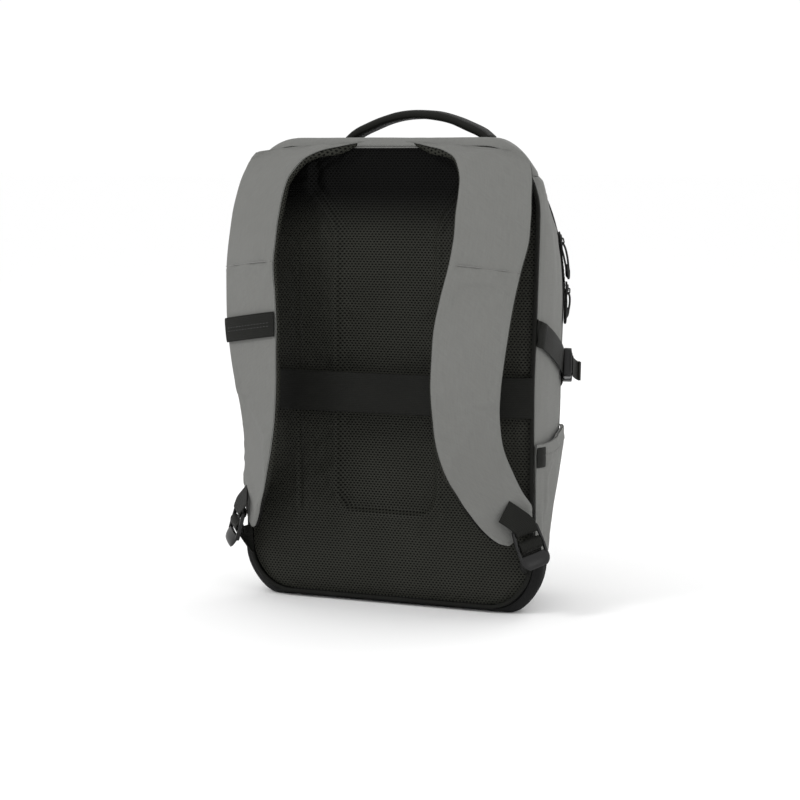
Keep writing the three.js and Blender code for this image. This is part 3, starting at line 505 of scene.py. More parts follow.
def shaded(shade, colour, factor):
    """A colour made lighter or darker by a factor that changes over the surface."""
    made = shade.node("ShaderNodeVectorMath", operation="SCALE")
    shade.put(made.inputs[0], colour)
    shade.join(factor, made.inputs["Scale"])
    return made.outputs[0]


def woven_material(name, colour, faded, thread, slub, roughness, sheen):
    """Plain woven polyester cloth."""
    material, shade, shader = new_material(
        name, roughness, Sheen_Weight=sheen, Sheen_Roughness=0.5, Specular_IOR_Level=0.15
    )
    weave = use_group(shade, WEAVE, Lay=lay_place(shade), Thread=thread, Slub=slub)
    wear = use_group(shade, WEAR, Patch=11.0, Amount=0.35)
    base = shade.mix(wear["Fade"], (*colour, 1), (*faded, 1))
    shade.join(shaded(shade, base, weave["Shade"]), shader.inputs["Base Color"])
    add_bump(shade, shader, weave["Height"], 0.5, 0.0002)
    return material


# Painted shade: heights along the mesh's lay over which it is painted darker towards the top of the padded
# back, standing in for the straps' shadow
PAINTED_SHADE_FROM = 365.0
PAINTED_SHADE_TO = 420.0


def mesh_material():
    """Black spacer mesh over foam: a matt net with small dark holes, and painted shade that darkens it near
    the top.
    """
    material, shade, shader = new_material("black_spacer_mesh", 0.5, Specular_IOR_Level=0.07)
    net = use_group(shade, SPACER, Lay=lay_place(shade), Across=3.7, Along=2.5)
    wear = use_group(shade, WEAR, Patch=16.0, Amount=0.4)
    thread = shade.mix(wear["Fade"], (0.025, 0.0255, 0.021, 1), (0.033, 0.0335, 0.028, 1))
    place = shade.node("ShaderNodeSeparateXYZ")
    shade.join(lay_place(shade), place.inputs[0])
    # Painted shade: above these heights the thread colour is mixed towards near-black in place of the
    # shadow on the top of the back; on the strap linings the same mask reads their length
    high = shade.between(place.outputs["Y"], PAINTED_SHADE_FROM, PAINTED_SHADE_TO)
    thread = shade.mix(high, thread, (0.0022, 0.0022, 0.002, 1))
    colour = shade.mix(net["Hole"], thread, (0.0012, 0.0012, 0.001, 1))
    shade.join(colour, shader.inputs["Base Color"])
    add_bump(shade, shader, net["Height"], 1.0, 0.0014)
    return material


def webbing_material(name, rib, slant, colour):
    """Black polyester webbing with a slight sheen."""
    material, shade, shader = new_material(name, 0.6, Specular_IOR_Level=0.12)
    ribs = use_group(shade, RIBS, Lay=lay_place(shade), Rib=rib, Slant=slant)
    wear = use_group(shade, WEAR, Patch=20.0, Amount=0.4)
    lighter = tuple(1.7 * c for c in colour)
    base = shade.mix(wear["Fade"], (*colour, 1), (*lighter, 1))
    shade.join(shaded(shade, base, ribs["Shade"]), shader.inputs["Base Color"])
    add_bump(shade, shader, ribs["Height"], 0.7, 0.0004)
    return material


def plastic_material():
    """Moulded black acetal, half gloss, with a faint grain and faded, rubbed patches."""
    material, shade, shader = new_material("black_acetal", 0.3, Specular_IOR_Level=0.32)
    wear = use_group(shade, WEAR, Patch=60.0, Amount=0.5)
    place = shade.node("ShaderNodeTexCoord").outputs["Object"]
    grain = shade.noise(place, 1600.0, 2.0)
    colour = shade.mix(wear["Fade"], (0.005, 0.005, 0.005, 1), (0.009, 0.009, 0.009, 1))
    shade.join(colour, shader.inputs["Base Color"])
    shade.join(shade.between(grain, 0.3, 0.7, 0.28, 0.4), shader.inputs["Roughness"])
    add_bump(shade, shader, grain, 0.15, 0.0001)
    return material


def thread_material(name, colour):
    """Sewing thread, twisted."""
    material, shade, shader = new_material(name, 0.6, Sheen_Weight=0.2)
    place = shade.node("ShaderNodeTexCoord").outputs["Object"]
    fibre = shade.noise(place, 2500.0, 1.0)
    dark = tuple(0.6 * c for c in colour)
    shade.join(shade.mix(fibre, (*dark, 1), (*colour, 1)), shader.inputs["Base Color"])
    add_bump(shade, shader, fibre, 0.4, 0.0001)
    return material


GREY_CLOTH = woven_material(
    "grey_woven_cloth", (0.154, 0.155, 0.147), (0.172, 0.173, 0.166), 0.7, 0.2, 0.85, 0.03
)
BLACK_CLOTH = woven_material(
    "black_woven_cloth", (0.006, 0.006, 0.006), (0.01, 0.01, 0.01), 0.8, 0.2, 0.75, 0.0
)
BLACK_MESH = mesh_material()
BLACK_WEBBING = webbing_material("black_webbing", 1.8, 1.0, (0.0075, 0.0077, 0.0065))
BLACK_TAPE = webbing_material("black_binding_tape", 1.2, 0.3, (0.007, 0.0072, 0.006))
BLACK_PLASTIC = plastic_material()
GREY_THREAD = thread_material("grey_thread", (0.17, 0.168, 0.16))
BLACK_THREAD = thread_material("black_thread", (0.02, 0.02, 0.02))


# The bag's sections from its back to its front, as shares of depth, half width and height
SECTIONS = np.array([
    (0, 0.985, 0.983, 0.011),
    (0.07, 1.015, 1, 0),
    (0.18, 1.018, 1, 0),
    (0.36, 1.006, 1, 0),
    (0.51, 0.98, 0.99, 0),
    (0.667, 0.925, 0.97, 0),
    (0.774, 0.87, 0.936, 0.006),
    (0.863, 0.79, 0.89, 0.02),
    (0.929, 0.67, 0.825, 0.047),
    (0.976, 0.49, 0.735, 0.096),
    (1, 0.28, 0.64, 0.17),
])

# Corner ellipses of the sections: depth, then width and height at the crown and at the foot
CORNERS = np.array([
    (0, 0.36, 0.14, 0.3, 0.11),
    (0.07, 0.4, 0.17, 0.21, 0.11),
    (0.18, 0.44, 0.22, 0.24, 0.17),
    (0.36, 0.44, 0.34, 0.31, 0.4),
    (0.51, 0.47, 0.35, 0.36, 0.47),
    (0.667, 0.5, 0.36, 0.35, 0.47),
    (0.774, 0.5, 0.36, 0.38, 0.46),
    (0.863, 0.47, 0.37, 0.4, 0.43),
    (0.929, 0.44, 0.34, 0.4, 0.38),
    (0.976, 0.35, 0.27, 0.34, 0.28),
    (1, 0.2, 0.15, 0.2, 0.15),
])

# The bag is a little narrower low down and wider at the shoulders: height and width shares
WAIST = np.array([(0, 0.985), (0.46, 0.985), (0.63, 1), (0.88, 1.016), (1, 1.016)])


def waist(up):
    share = np.clip(np.asarray(up, float) / BODY_HEIGHT, 0, 1)
    return through(WAIST[:, 0], WAIST[:, 1], share, monotone=True)


def section(depth, inset=0.0):
    """Half width, top, base and corner sizes of the bag at a depth."""
    share = np.clip(depth / BODY_DEPTH, 0, 1)
    half, top, base = (
        through(SECTIONS[:, 0], SECTIONS[:, k], share, monotone=True) for k in (1, 2, 3)
    )
    crown_wide, crown_tall, foot_wide, foot_tall = (
        through(CORNERS[:, 0], CORNERS[:, k], share, monotone=True) for k in (1, 2, 3, 4)
    )
    return {
        "half": half * BODY_HALF_WIDTH - inset,
        "top": top * BODY_HEIGHT - inset,
        "base": base * BODY_HEIGHT + inset,
        "crown_wide": crown_wide * BODY_HALF_WIDTH - inset,
        "crown_tall": crown_tall * BODY_HEIGHT - inset,
        "foot_wide": foot_wide * BODY_HALF_WIDTH - inset,
        "foot_tall": foot_tall * BODY_HEIGHT - inset,
    }


def reach(s, up):
    """How far a section reaches sideways at a height."""
    up = np.asarray(up, float)
    crown = np.clip((up - s["top"] + s["crown_tall"]) / s["crown_tall"], 0, 1)
    foot = np.clip((s["base"] + s["foot_tall"] - up) / s["foot_tall"], 0, 1)
    out = s["half"] - s["crown_wide"] * (1 - np.sqrt(1 - crown**2))
    out = out - s["foot_wide"] * (1 - np.sqrt(1 - foot**2))
    return out * waist(up)


def crown_points(s, depth, angles):
    up = s["top"] - s["crown_tall"] * (1 - np.sin(angles))
    out = s["half"] - s["crown_wide"] * (1 - np.cos(angles))
    return np.stack([out * waist(up), np.full_like(up, depth), up], axis=-1)


def foot_points(s, depth, angles):
    up = s["base"] + s["foot_tall"] * (1 - np.sin(angles))
    out = s["half"] - s["foot_wide"] * (1 - np.cos(angles))
    return np.stack([out * waist(up), np.full_like(up, depth), up], axis=-1)


def crown_angle(s, up):
    return math.asin(min(max((up - s["top"] + s["crown_tall"]) / s["crown_tall"], -1), 1))


def foot_angle(s, up):
    return math.asin(min(max((s["base"] + s["foot_tall"] - up) / s["foot_tall"], -1), 1))


def to_middle(corner, count):
    """Level points from the end of a corner to the bag's middle line."""
    across = np.linspace(corner[0], 0, count)[1:]
    return np.stack([across, np.full_like(across, corner[1]), np.full_like(across, corner[2])], axis=1)


def with_left(right):
    """A right half that ends on the middle line, with its mirror image after it."""
    return np.concatenate([right, flipped(right[::-1], LEFT)[1:]])


def side_point(depth, up, lift=0.0):
    """Points on the bag's right side, lifted square to it, and their normals."""
    depth, up = np.broadcast_arrays(np.asarray(depth, float), np.asarray(up, float))
    out = lambda d, z: reach(section(d), z)
    slope_depth = out(depth + 1, up) - out(depth - 1, up)
    slope_up = out(depth, up + 1) - out(depth, up - 1)
    normal = unit(np.stack([np.full_like(depth, 2.0), -slope_depth, -slope_up], axis=-1))
    place = np.stack([out(depth, up), depth, up], axis=-1)
    return place + normal * np.asarray(lift, float)[..., None], normal


def edge_share(rows, columns):
    """How far each point of a grid lies from the grid's border, as a share of its half size."""
    r = np.minimum(np.arange(rows), np.arange(rows)[::-1]) / (rows / 2)
    c = np.minimum(np.arange(columns), np.arange(columns)[::-1]) / (columns / 2)
    return np.minimum(r[:, None], c[None, :])


def slack(grid, normals, seed, amount, border=0.12):
    """Soft folds of cloth that isn't tight, which die out at its seams."""
    held = ramp(edge_share(*grid.shape[:2]), 0, border)
    broad = crumple(grid, 70, seed, (1, 0.7, 1.6))
    narrow = crumple(grid, 26, seed + 3, (0.8, 0.8, 1.5))
    fine = crumple(grid, 9, seed + 7)
    fold = -amount * (np.abs(broad) * 1.3 + np.abs(narrow) * 0.5 + fine * 0.12)
    return grid + normals * (held * fold)[..., None]


FOOT_BULGE = 4
BULGE_UP = 42
BULGE_TALL = 40
BULGE_DEEP = 70


def foot_bulge(grid):
    """How far the load pushes the cloth out by the lower corners of the back."""
    low = bump(grid[..., 2], BULGE_UP, BULGE_TALL) * (1 - ramp(grid[..., 1], 15, BULGE_DEEP))
    return FOOT_BULGE * low * ramp(grid[..., 1], PANEL_START, PANEL_START + 6)


SEAM_DRAW = 0.9
WALL_EXTRA = 1.5


def cloth_panel(grid, outward, seed, amount):
    """A cloth wall whose seams are turned in along its border."""
    normals = grid_normals(grid, outward)
    front = slack(grid, normals, seed, amount)
    seam = 1 - ramp(edge_share(*grid.shape[:2]), 0, 0.035)
    beside = np.abs(normals[..., 0])
    front = front + normals * (foot_bulge(grid) * beside - SEAM_DRAW * seam)[..., None]
    return sheet_body(front, grid - normals * (CLOTH + WALL_EXTRA))


# Sewing

STITCH_LONG = 3.0
STITCH_GAP = 1.3
STITCH_THICK = 0.55
STITCH_TIP = 0.12
STITCH_PROUD = 0.7


def stitch_bodies(path, normals, long=STITCH_LONG, gap=STITCH_GAP, thick=STITCH_THICK):
    """One small spindle of thread for each stitch along a path on a surface."""
    run = lengths_along(path)
    count = max(1, int(run[-1] / (long + gap)))
    middles = (np.arange(count) + 0.5) * run[-1] / count
    radii = (STITCH_TIP, thick / 2, thick / 2, STITCH_TIP)
    lifts = (0, STITCH_PROUD * thick, STITCH_PROUD * thick, 0)
    bodies = []
    for middle in middles:
        ends = read_along(path, run, np.array([middle - long / 2, middle + long / 2]))
        normal = unit(read_along(normals, run, middle))
        across = np.cross(normal, unit(ends[1] - ends[0]))
        places = [ends[0] * (1 - s) + ends[1] * s for s in (0, 0.25, 0.75, 1)]
        rings = np.array([
            [p + normal * lift + r * (across * math.cos(a) + normal * math.sin(a)) for a in turns(4)]
            for p, r, lift in zip(places, radii, lifts)
        ])
        bodies.append(ring_body(rings))
    return bodies


def webbing_rings(path, acrosses, wide, thick):
    """Rings of a flat strip with soft edges along a path, and how its weave lies."""
    tangents = unit(np.gradient(path, axis=0))
    acrosses = unit(acrosses - tangents * (acrosses * tangents).sum(axis=1, keepdims=True))
    ups = np.cross(tangents, acrosses)
    upper = [(-0.488, 0.36), (-0.45, 0.5), (-0.22, 0.5), (0, 0.5), (0.22, 0.5), (0.45, 0.5), (0.488, 0.36)]
    lower = [(-x, -y) for x, y in upper]
    outline = np.array([(-0.5, 0.0), *upper, (0.5, 0.0), *lower])
    wide = np.broadcast_to(np.asarray(wide, float), (len(path),))
    rings = (
        path[:, None, :]
        + acrosses[:, None, :] * (outline[None, :, 0:1] * wide[:, None, None])
        + ups[:, None, :] * (outline[None, :, 1:2] * thick)
    )
    lay = np.zeros_like(rings)
    lay[..., 0] = outline[None, :, 0] * wide[:, None]
    lay[..., 1] = lengths_along(path)[:, None]
    return rings, lay


def webbing_body(points, acrosses, wide, thick, count=60):
    """A strip of webbing along a smooth curve through a few points."""
    points = np.asarray(points, float)
    acrosses = np.asarray(acrosses, float)
    path = smooth_path(points, count)
    known = lengths_along(points) / lengths_along(points)[-1]
    at = np.linspace(0, 1, count)
    rings, lay = webbing_rings(path, read_along(acrosses, known, at), wide, thick)
    return ring_body(rings, lay=lay)


# Cloth simulation

SIM_FRAMES = 20


class Panel:
    """A coarse grid of cloth that is held at some points while it fills out."""

    def __init__(self, grid, outward, pressure, grow, cap, pins=None, around=False):
        self.grid = grid
        self.outward = outward
        self.pressure = pressure
        self.grow = grow
        self.cap = cap
        self.around = around
        self.pins = edge_share(*grid.shape[:2]) == 0 if pins is None else pins


def cloth_object(name, panel):
    rows, columns = panel.grid.shape[:2]
    faces = quads_of(np.arange(rows * columns).reshape(rows, columns), around=panel.around)
    if (grid_normals(panel.grid, panel.outward) * raw_normals(panel.grid)).sum() < 0:
        faces = [face[::-1] for face in faces]
    mesh = bpy.data.meshes.new(name)
    mesh.from_pydata((panel.grid.reshape(-1, 3) * MM).tolist(), [], faces)
    cloth = bpy.data.objects.new(name, mesh)
    bpy.context.scene.collection.objects.link(cloth)
    held = cloth.vertex_groups.new(name="seam")
    held.add([int(i) for i in np.flatnonzero(panel.pins.ravel())], 1.0, "REPLACE")
    modifier = cloth.modifiers.new("cloth", "CLOTH")
    settings = modifier.settings
    settings.quality = 6
    settings.mass = 0.01
    settings.tension_stiffness = 15
    settings.compression_stiffness = 15
    settings.shear_stiffness = 5
    settings.bending_stiffness = 0.3
    settings.vertex_group_mass = "seam"
    settings.use_pressure = True
    settings.uniform_pressure_force = panel.pressure
    settings.shrink_min = -panel.grow
    settings.effector_weights.gravity = 0
    modifier.collision_settings.use_collision = False
    modifier.point_cache.frame_start = 1
    modifier.point_cache.frame_end = SIM_FRAMES
    return cloth


def relax(panels):
    """Lets the cloth of all the panels fill out together, and gives back how far each moved."""
    cloths = {name: cloth_object(name, panel) for name, panel in panels.items()}
    scene = bpy.context.scene
    for frame_number in range(1, SIM_FRAMES + 1):
        scene.frame_set(frame_number)
    graph = bpy.context.evaluated_depsgraph_get()
    moved = {}
    for name, panel in panels.items():
        count = panel.grid.shape[0] * panel.grid.shape[1]
        flat = np.empty(count * 3, dtype=np.float32)
        cloths[name].evaluated_get(graph).data.vertices.foreach_get("co", flat)
        move = flat.reshape(panel.grid.shape) / MM - panel.grid
        far = np.linalg.norm(move, axis=-1, keepdims=True)
        moved[name] = move * np.tanh(far / panel.cap) * panel.cap / np.maximum(far, 1e-6)
    scene.frame_set(1)
    for cloth in cloths.values():
        mesh = cloth.data
        bpy.data.objects.remove(cloth)
        bpy.data.meshes.remove(mesh)
    return moved


def resample(grid, rows, columns):
    """A smooth finer grid through a coarse one."""
    n, m, k = grid.shape
    tall = through(np.arange(n), grid.reshape(n, -1), np.linspace(0, n - 1, rows)).reshape(rows, m, k)
    turned = tall.transpose(1, 0, 2).reshape(m, -1)
    wide = through(np.arange(m), turned, np.linspace(0, m - 1, columns))
    return wide.reshape(columns, rows, k).transpose(1, 0, 2)


# Walls of the bag

def side_grid(side, rows, columns):
    depths = np.linspace(PANEL_START, MAIN_SEAM, columns)
    ups = np.linspace(FOOT_SEAM, CROWN_SEAM, rows)
    return flipped(side_point(depths[None, :], ups[:, None])[0], side)


def side_panels(moved):
    for side, word in SIDES:
        grid = side_grid(side, 150, 60) + resample(moved[f"side_{word}"], 150, 60)
        body = cloth_panel(grid, np.array([side, 0, 0]), seed=11 + side, amount=0.9)
        add_piece(f"side_cloth_{word}", body, GREY_CLOTH, [f"side_panel_{word}"])


def arch_grid(start, corner_points, start_angle, from_depth, rows=44, columns=22):
    """A grid over the top or under the base, from the right seam to the left one."""
    grid = []
    for depth in np.linspace(from_depth, MAIN_SEAM, rows):
        s = section(depth)
        arc = corner_points(s, depth, np.linspace(start_angle(s, start), math.pi / 2, columns))
        grid.append(with_left(np.concatenate([arc, to_middle(arc[-1], columns // 2)])))
    return np.array(grid)


def top_wall():
    grid = arch_grid(CROWN_SEAM + GAP, crown_points, crown_angle, 0)
    body = cloth_panel(grid, np.array([0, 0, 1]), seed=21, amount=0.7)
    add_piece("top_cloth", body, GREY_CLOTH, ["top_panel"])


def base_wall():
    grid = arch_grid(FOOT_SEAM - GAP, foot_points, foot_angle, PANEL_START)
    body = cloth_panel(grid, np.array([0, 0, -1]), seed=31, amount=0.25)
    body[0][:, 2] = np.maximum(body[0][:, 2], 0)
    add_piece("base_boot", body, BLACK_CLOTH, ["base_panel"])


def front_ring(depth, inset=0.0):
    """The outline of the bag at a depth, all the way round from the middle of its base."""
    s = section(depth, inset)
    foot = foot_points(s, depth, np.linspace(math.pi / 2, 0, 26))
    crown = crown_points(s, depth, np.linspace(0, math.pi / 2, 30))
    low = np.linspace(0, foot[0, 0], 12)[:-1]
    base = np.stack([low, np.full_like(low, depth), np.full_like(low, foot[0, 2])], axis=1)
    ups = np.linspace(foot[-1, 2], crown[0, 2], 14)[1:-1]
    side = np.stack([s["half"] * waist(ups), np.full_like(ups, depth), ups], axis=1)
    right = np.concatenate([base, foot, side, crown, to_middle(crown[-1], 12)])
    return np.concatenate([right, flipped(right[-2:0:-1], LEFT)])


FRONT_DOME = 2.5


def front_wall():
    start = MAIN_SEAM + GAP
    share = np.sin(np.linspace(0, math.pi / 2, 44))
    rings = [front_ring(start + (BODY_DEPTH - start) * t) for t in share]
    last = rings[-1]
    centre = last.mean(axis=0)
    for k in np.linspace(1, 0, 16)[1:-1]:
        ring = centre + (last - centre) * k
        ring[:, 1] = BODY_DEPTH + FRONT_DOME * (1 - k**2)
        rings.append(ring)
    grid = np.array(rings)
    wrapped = np.concatenate([grid[:, -1:], grid, grid[:, :1]], axis=1)
    middle = np.array([0, MAIN_SEAM / 2, BODY_HEIGHT / 2])
    normals = grid_normals(wrapped, wrapped - middle)[:, 1:-1]
    held = ramp(np.linspace(0, 1, len(grid)), 0, 0.18)[:, None]
    sag = -(np.abs(crumple(grid, 90, 41, (1, 1, 1.6))) * 2.2 + np.abs(crumple(grid, 30, 43)) * 0.8)
    outer = grid + normals * (held * sag)[..., None]
    inner = grid - normals * (CLOTH + 3.5)
    count, around = grid.shape[:2]
    index = np.arange(count * around).reshape(count, around)
    tips = np.stack([outer[-1].mean(axis=0), inner[-1].mean(axis=0)])
    points = np.concatenate([outer.reshape(-1, 3), inner.reshape(-1, 3), tips])
    shift = count * around
    faces = quads_of(index, around=True)
    faces += [q[::-1] for q in quads_of(index + shift, around=True)]
    faces += [q[::-1] for q in quads_of(np.stack([index[0], index[0] + shift]), around=True)]
    for c in range(around):
        d = (c + 1) % around
        faces.append([int(index[-1, c]), int(index[-1, d]), 2 * shift])
        faces.append([int(index[-1, d]) + shift, int(index[-1, c]) + shift, 2 * shift + 1])
    flat = np.stack([grid[..., 0], grid[..., 2], grid[..., 1]], axis=-1).reshape(-1, 3)
    lay = np.concatenate([flat, flat, np.zeros((2, 3))])
    add_piece("front_cloth", (points, faces, lay), GREY_CLOTH, ["front_panel"])


# Padded back

PAD_THICK = 12
PAD_ROLL = 5
PAD_ROLL_WIDTH = 16
PAD_CROWN = 1.6
CHANNEL_HALF_WIDTH = 54
CHANNEL_DEPTH = 5
CHANNEL_WALL = 7
CHANNEL_FOOT = 92
CHANNEL_CORNER = 26
CHANNEL_FLARE = 31
FLARE_FROM = 368
FLARE_TO = 418
GROOVE_OUT = 96
GROOVE_DEPTH = 2
GROOVE_WIDTH = 9
PINCH = 1.7
PIPE = 1.9
FOOT_BAR = 1.2


def channel_half(up):
    flare = np.clip((up - FLARE_FROM) / (FLARE_TO - FLARE_FROM), 0, 1)
    above = np.clip(up - CHANNEL_FOOT, 0, CHANNEL_CORNER)
    corner = CHANNEL_CORNER - np.sqrt(CHANNEL_CORNER**2 - (CHANNEL_CORNER - above) ** 2)
    return CHANNEL_HALF_WIDTH - corner + CHANNEL_FLARE * flare**2


def pad_rows(count):
    """Heights of the padded back's grid rows, closer together near its ends."""
    outline = section(0.0, CLOTH + 2 * GAP)
    low, high = float(outline["base"]), float(outline["top"])
    even = np.linspace(0, 1, count)
    return outline, low, high, low + (high - low) * (0.75 * even + 0.25 * (1 - np.cos(math.pi * even)) / 2)


def pad_grid(rows, columns):
    outline, _, _, ups = pad_rows(rows)
    x = reach(outline, ups)[:, None] * np.linspace(-1, 1, columns)[None, :]
    return np.stack([x, x * 0, np.repeat(ups[:, None], columns, axis=1)], axis=-1)


def pad_panel():
    """The padded back's cloth, held at its edge, along the channel and in the two grooves."""
    grid = pad_grid(64, 52)
    out, up = np.abs(grid[..., 0]), grid[..., 2]
    inside = channel_half(up) - out
    held = edge_share(64, 52) == 0
    held |= (np.abs(inside) < 4) & (up > CHANNEL_FOOT)
    held |= (np.abs(up - CHANNEL_FOOT) < 4) & (inside > 0)
    held |= (np.abs(out - GROOVE_OUT) < 3.5) & (up > CHANNEL_FOOT) & (up < FLARE_FROM)
    return Panel(grid, np.array([0, -1, 0]), pressure=5, grow=0.012, cap=2.2, pins=held)


def pad_relief(x, z, low, high):
    """How far the padded back's face lies behind its plane: rolled edge, channel and grooves."""
    out = np.abs(x)
    edge = np.minimum(np.minimum(x[:, -1:] - out, z - low), high - z)
    rolled = PAD_ROLL * np.clip(1 - edge / PAD_ROLL_WIDTH, 0, 1) ** 2
    inside = channel_half(z) - out
    above = ramp(z, CHANNEL_FOOT, CHANNEL_FOOT + CHANNEL_WALL)
    channel = CHANNEL_DEPTH * ramp(inside, 0, CHANNEL_WALL) * above
    run = ramp(z, CHANNEL_FOOT - 6, CHANNEL_FOOT + 6) * (1 - ramp(z, FLARE_FROM - 20, FLARE_FROM))
    groove = GROOVE_DEPTH * bump(out, GROOVE_OUT, GROOVE_WIDTH / 2) * run
    crown = PAD_CROWN * ramp(edge, 4, 40) * (1 - ramp(inside, -8, 0) * above)
    pinch = PINCH * bump(inside, 2.2, 3) * ramp(z, CHANNEL_FOOT, CHANNEL_FOOT + 5)
    pipe = PIPE * bump(inside, -2.5, 4.5) * ramp(z, CHANNEL_FOOT - 4, CHANNEL_FOOT + 2)
    pipe = pipe * (1 - ramp(z, FLARE_FROM - 10, FLARE_TO))
    foot_bar = FOOT_BAR * bump(z, CHANNEL_FOOT - 1, 5) * ramp(inside, -1, 3)
    relief = np.maximum(np.maximum(rolled, channel), groove)
    return relief + pinch - crown - np.maximum(pipe, foot_bar)


def back_pad(moved):
    rows, columns = 200, 180
    _, low, high, _ = pad_rows(rows)
    grid = pad_grid(rows, columns)
    x, z = grid[..., 0], grid[..., 2]
    face = grid + resample(moved["pad"], rows, columns)
    face[..., 1] += pad_relief(x, z, low, high)
    rear = np.stack([x, np.full_like(x, PAD_THICK), z], axis=-1)
    body = sheet_body(face, rear, np.stack([x, z, z * 0], axis=-1))
    piece = add_piece("back_pad", body, BLACK_MESH, ["back_panel"])


BINDING_BACK = 0.8
BINDING_FRONT = 2.4
BINDING_WIDTH = 5
BINDING_PROUD = 0.6
BINDING_SEEN = 3.8


def back_binding():
    rim = section(0.0)
    crown_low = rim["top"] - rim["crown_tall"]
    foot_high = rim["base"] + rim["foot_tall"]
    ups = np.concatenate([
        np.linspace(CROWN_SEAM - GAP, crown_low, 14)[:-1],
        np.linspace(crown_low, foot_high, 40)[:-1],
    ])

    def line(inset):
        s = section(0.0, inset)
        side = np.stack([reach(s, ups), ups * 0, ups], axis=1)
        corner = foot_points(s, 0.0, np.linspace(0, math.pi / 2, 24))
        return with_left(np.concatenate([side, corner, to_middle(corner[-1], 20)]))

    outer, inner = line(-BINDING_PROUD), line(BINDING_SEEN - BINDING_PROUD)
    middle, half = (outer + inner) / 2, (outer - inner) / 2
    turn = turns(16)
    wide = squared(np.cos(turn), 0.6)
    deep = squared(np.sin(turn), 0.6)
    centre = (BINDING_FRONT - BINDING_BACK) / 2
    tall = (BINDING_FRONT + BINDING_BACK) / 2
    rings = middle[:, None, :] + half[:, None, :] * wide[None, :, None]
    rings[..., 1] += centre + tall * deep[None, :]
    lay = np.zeros_like(rings)
    lay[..., 0] = np.arange(1.0, 17.0)[None, :]
    lay[..., 1] = lengths_along(middle)[:, None]
    body = ring_body(rings, lay=lay)
    add_piece("back_seam_tape", body, BLACK_TAPE, ["back_binding"])


# Pass-through band

BAND_LOW = 197
BAND_TALL = 40
BAND_STAND_OFF = 20
BAND_THICK = 1.6
BAND_HALF_WIDTH = 156


def back_band():
    share = np.linspace(-1, 1, 140)
    tip = BINDING_BACK + GAP
    rise = np.sin(np.minimum((1 - np.abs(share)) / 0.5, 1) * math.pi / 2)
    off = tip + (BAND_STAND_OFF - tip) * rise
    x = share * BAND_HALF_WIDTH
    path = np.stack([x, -off - BAND_THICK / 2, np.full_like(x, BAND_LOW + BAND_TALL / 2)], axis=1)
    rings, lay = webbing_rings(path, np.tile((0.0, 0.0, 1.0), (len(path), 1)), BAND_TALL, BAND_THICK)
    add_piece("back_band", ring_body(rings, lay=lay), BLACK_WEBBING, ["luggage_band"])


# Shoulder straps

STRAP_WIDTH = 70
STRAP_STAND_OFF = 72
STRAP_FACE = 2.4
STRAP_PAD = 10
STRAP_CROWN = 1.6
STRAP_ROUND = 1.4
STRAP_SEAM_UP = 345
STRAP_SEAM_SLANT = 8
SEAM_GROOVE = 0.7
SEAM_SWELL = 0.35
WEB_WIDTH = 25
WEB_THICK = 1.4

# Right strap from the top seam to its tip: centre line as shares of half width, stand-off and
# height, turn and rise of its cross line in degrees, width and padding as shares
STRAP_ROWS = np.array([
    (0.516, 0.055, 0.981, 0, -5, 1.73, 0.35),
    (0.6, 0.083, 0.973, 2, -6, 1.47, 0.5),
    (0.669, 0.125, 0.966, 6.5, -6, 1.21, 0.65),
    (0.72, 0.17, 0.956, 13.5, -3, 1.04, 0.85),
    (0.756, 0.25, 0.936, 20, 0, 1, 1),
    (0.777, 0.333, 0.915, 22, 0, 0.99, 1),
    (0.789, 0.435, 0.883, 23, 0, 1, 1),
    (0.797, 0.54, 0.84, 24, 0, 1.03, 1),
    (0.8, 0.63, 0.791, 24, 0, 1.03, 1),
    (0.784, 0.785, 0.732, 22.5, 0, 1, 1),
    (0.756, 0.89, 0.672, 21, 0, 1.01, 1),
    (0.734, 0.965, 0.613, 21, 0, 1.02, 1),
    (0.719, 1, 0.551, 23, 0, 0.99, 1),
    (0.706, 1, 0.491, 26, 0, 0.96, 1),
    (0.703, 0.95, 0.43, 32, 0, 0.93, 1),
    (0.719, 0.875, 0.366, 39, 0, 0.95, 1),
    (0.769, 0.722, 0.302, 45, 0, 1, 1),
    (0.819, 0.56, 0.257, 47, 0, 1, 0.85),
    (0.85, 0.46, 0.234, 49, 8, 0.93, 0.75),
    (0.881, 0.354, 0.211, 49, 22, 0.8, 0.65),
    (0.909, 0.264, 0.193, 49, 36, 0.66, 0.55),
    (0.931, 0.2, 0.18, 49, 39, 0.5, 0.45),
])
STRAP_STEPS = 170


def strap_frame():
    """Centres, cross lines, widths, padding and normals of the right strap."""
    sizes = np.array([BODY_HALF_WIDTH, -STRAP_STAND_OFF, BODY_HEIGHT])
    centres = STRAP_ROWS[:, :3] * sizes
    turn, rise = np.radians(STRAP_ROWS[:, 3]), np.radians(STRAP_ROWS[:, 4])
    acrosses = np.stack([np.cos(turn) * np.cos(rise), np.sin(turn) * np.cos(rise), np.sin(rise)], axis=1)
    run = lengths_along(centres)
    at = np.linspace(0, run[-1], STRAP_STEPS)
    centre = through(run, centres, at)
    across = unit(through(run, acrosses, at))
    width = through(run, STRAP_ROWS[:, 5] * STRAP_WIDTH, at, monotone=True)
    pad = through(run, STRAP_ROWS[:, 6] * STRAP_PAD, at, monotone=True)
    normal = unit(np.cross(np.gradient(centre, axis=0), across))
    away = np.array([0.15, -1, 0.35])
    normal = normal * np.sign((normal * away).sum(axis=1, keepdims=True))
    return centre, across, width, pad, normal


STRAP_CENTRE, STRAP_ACROSS, STRAP_WIDE, STRAP_PADDING, STRAP_NORMAL = strap_frame()


def strap_surface(shares, lift):
    """Points over the right strap, at shares across it and a lift off its face for each."""
    shares = np.asarray(shares, float)
    across = STRAP_ACROSS[:, None, :] * (shares[None, :, None] * STRAP_WIDE[:, None, None])
    return STRAP_CENTRE[:, None, :] + across + STRAP_NORMAL[:, None, :] * lift[..., None]


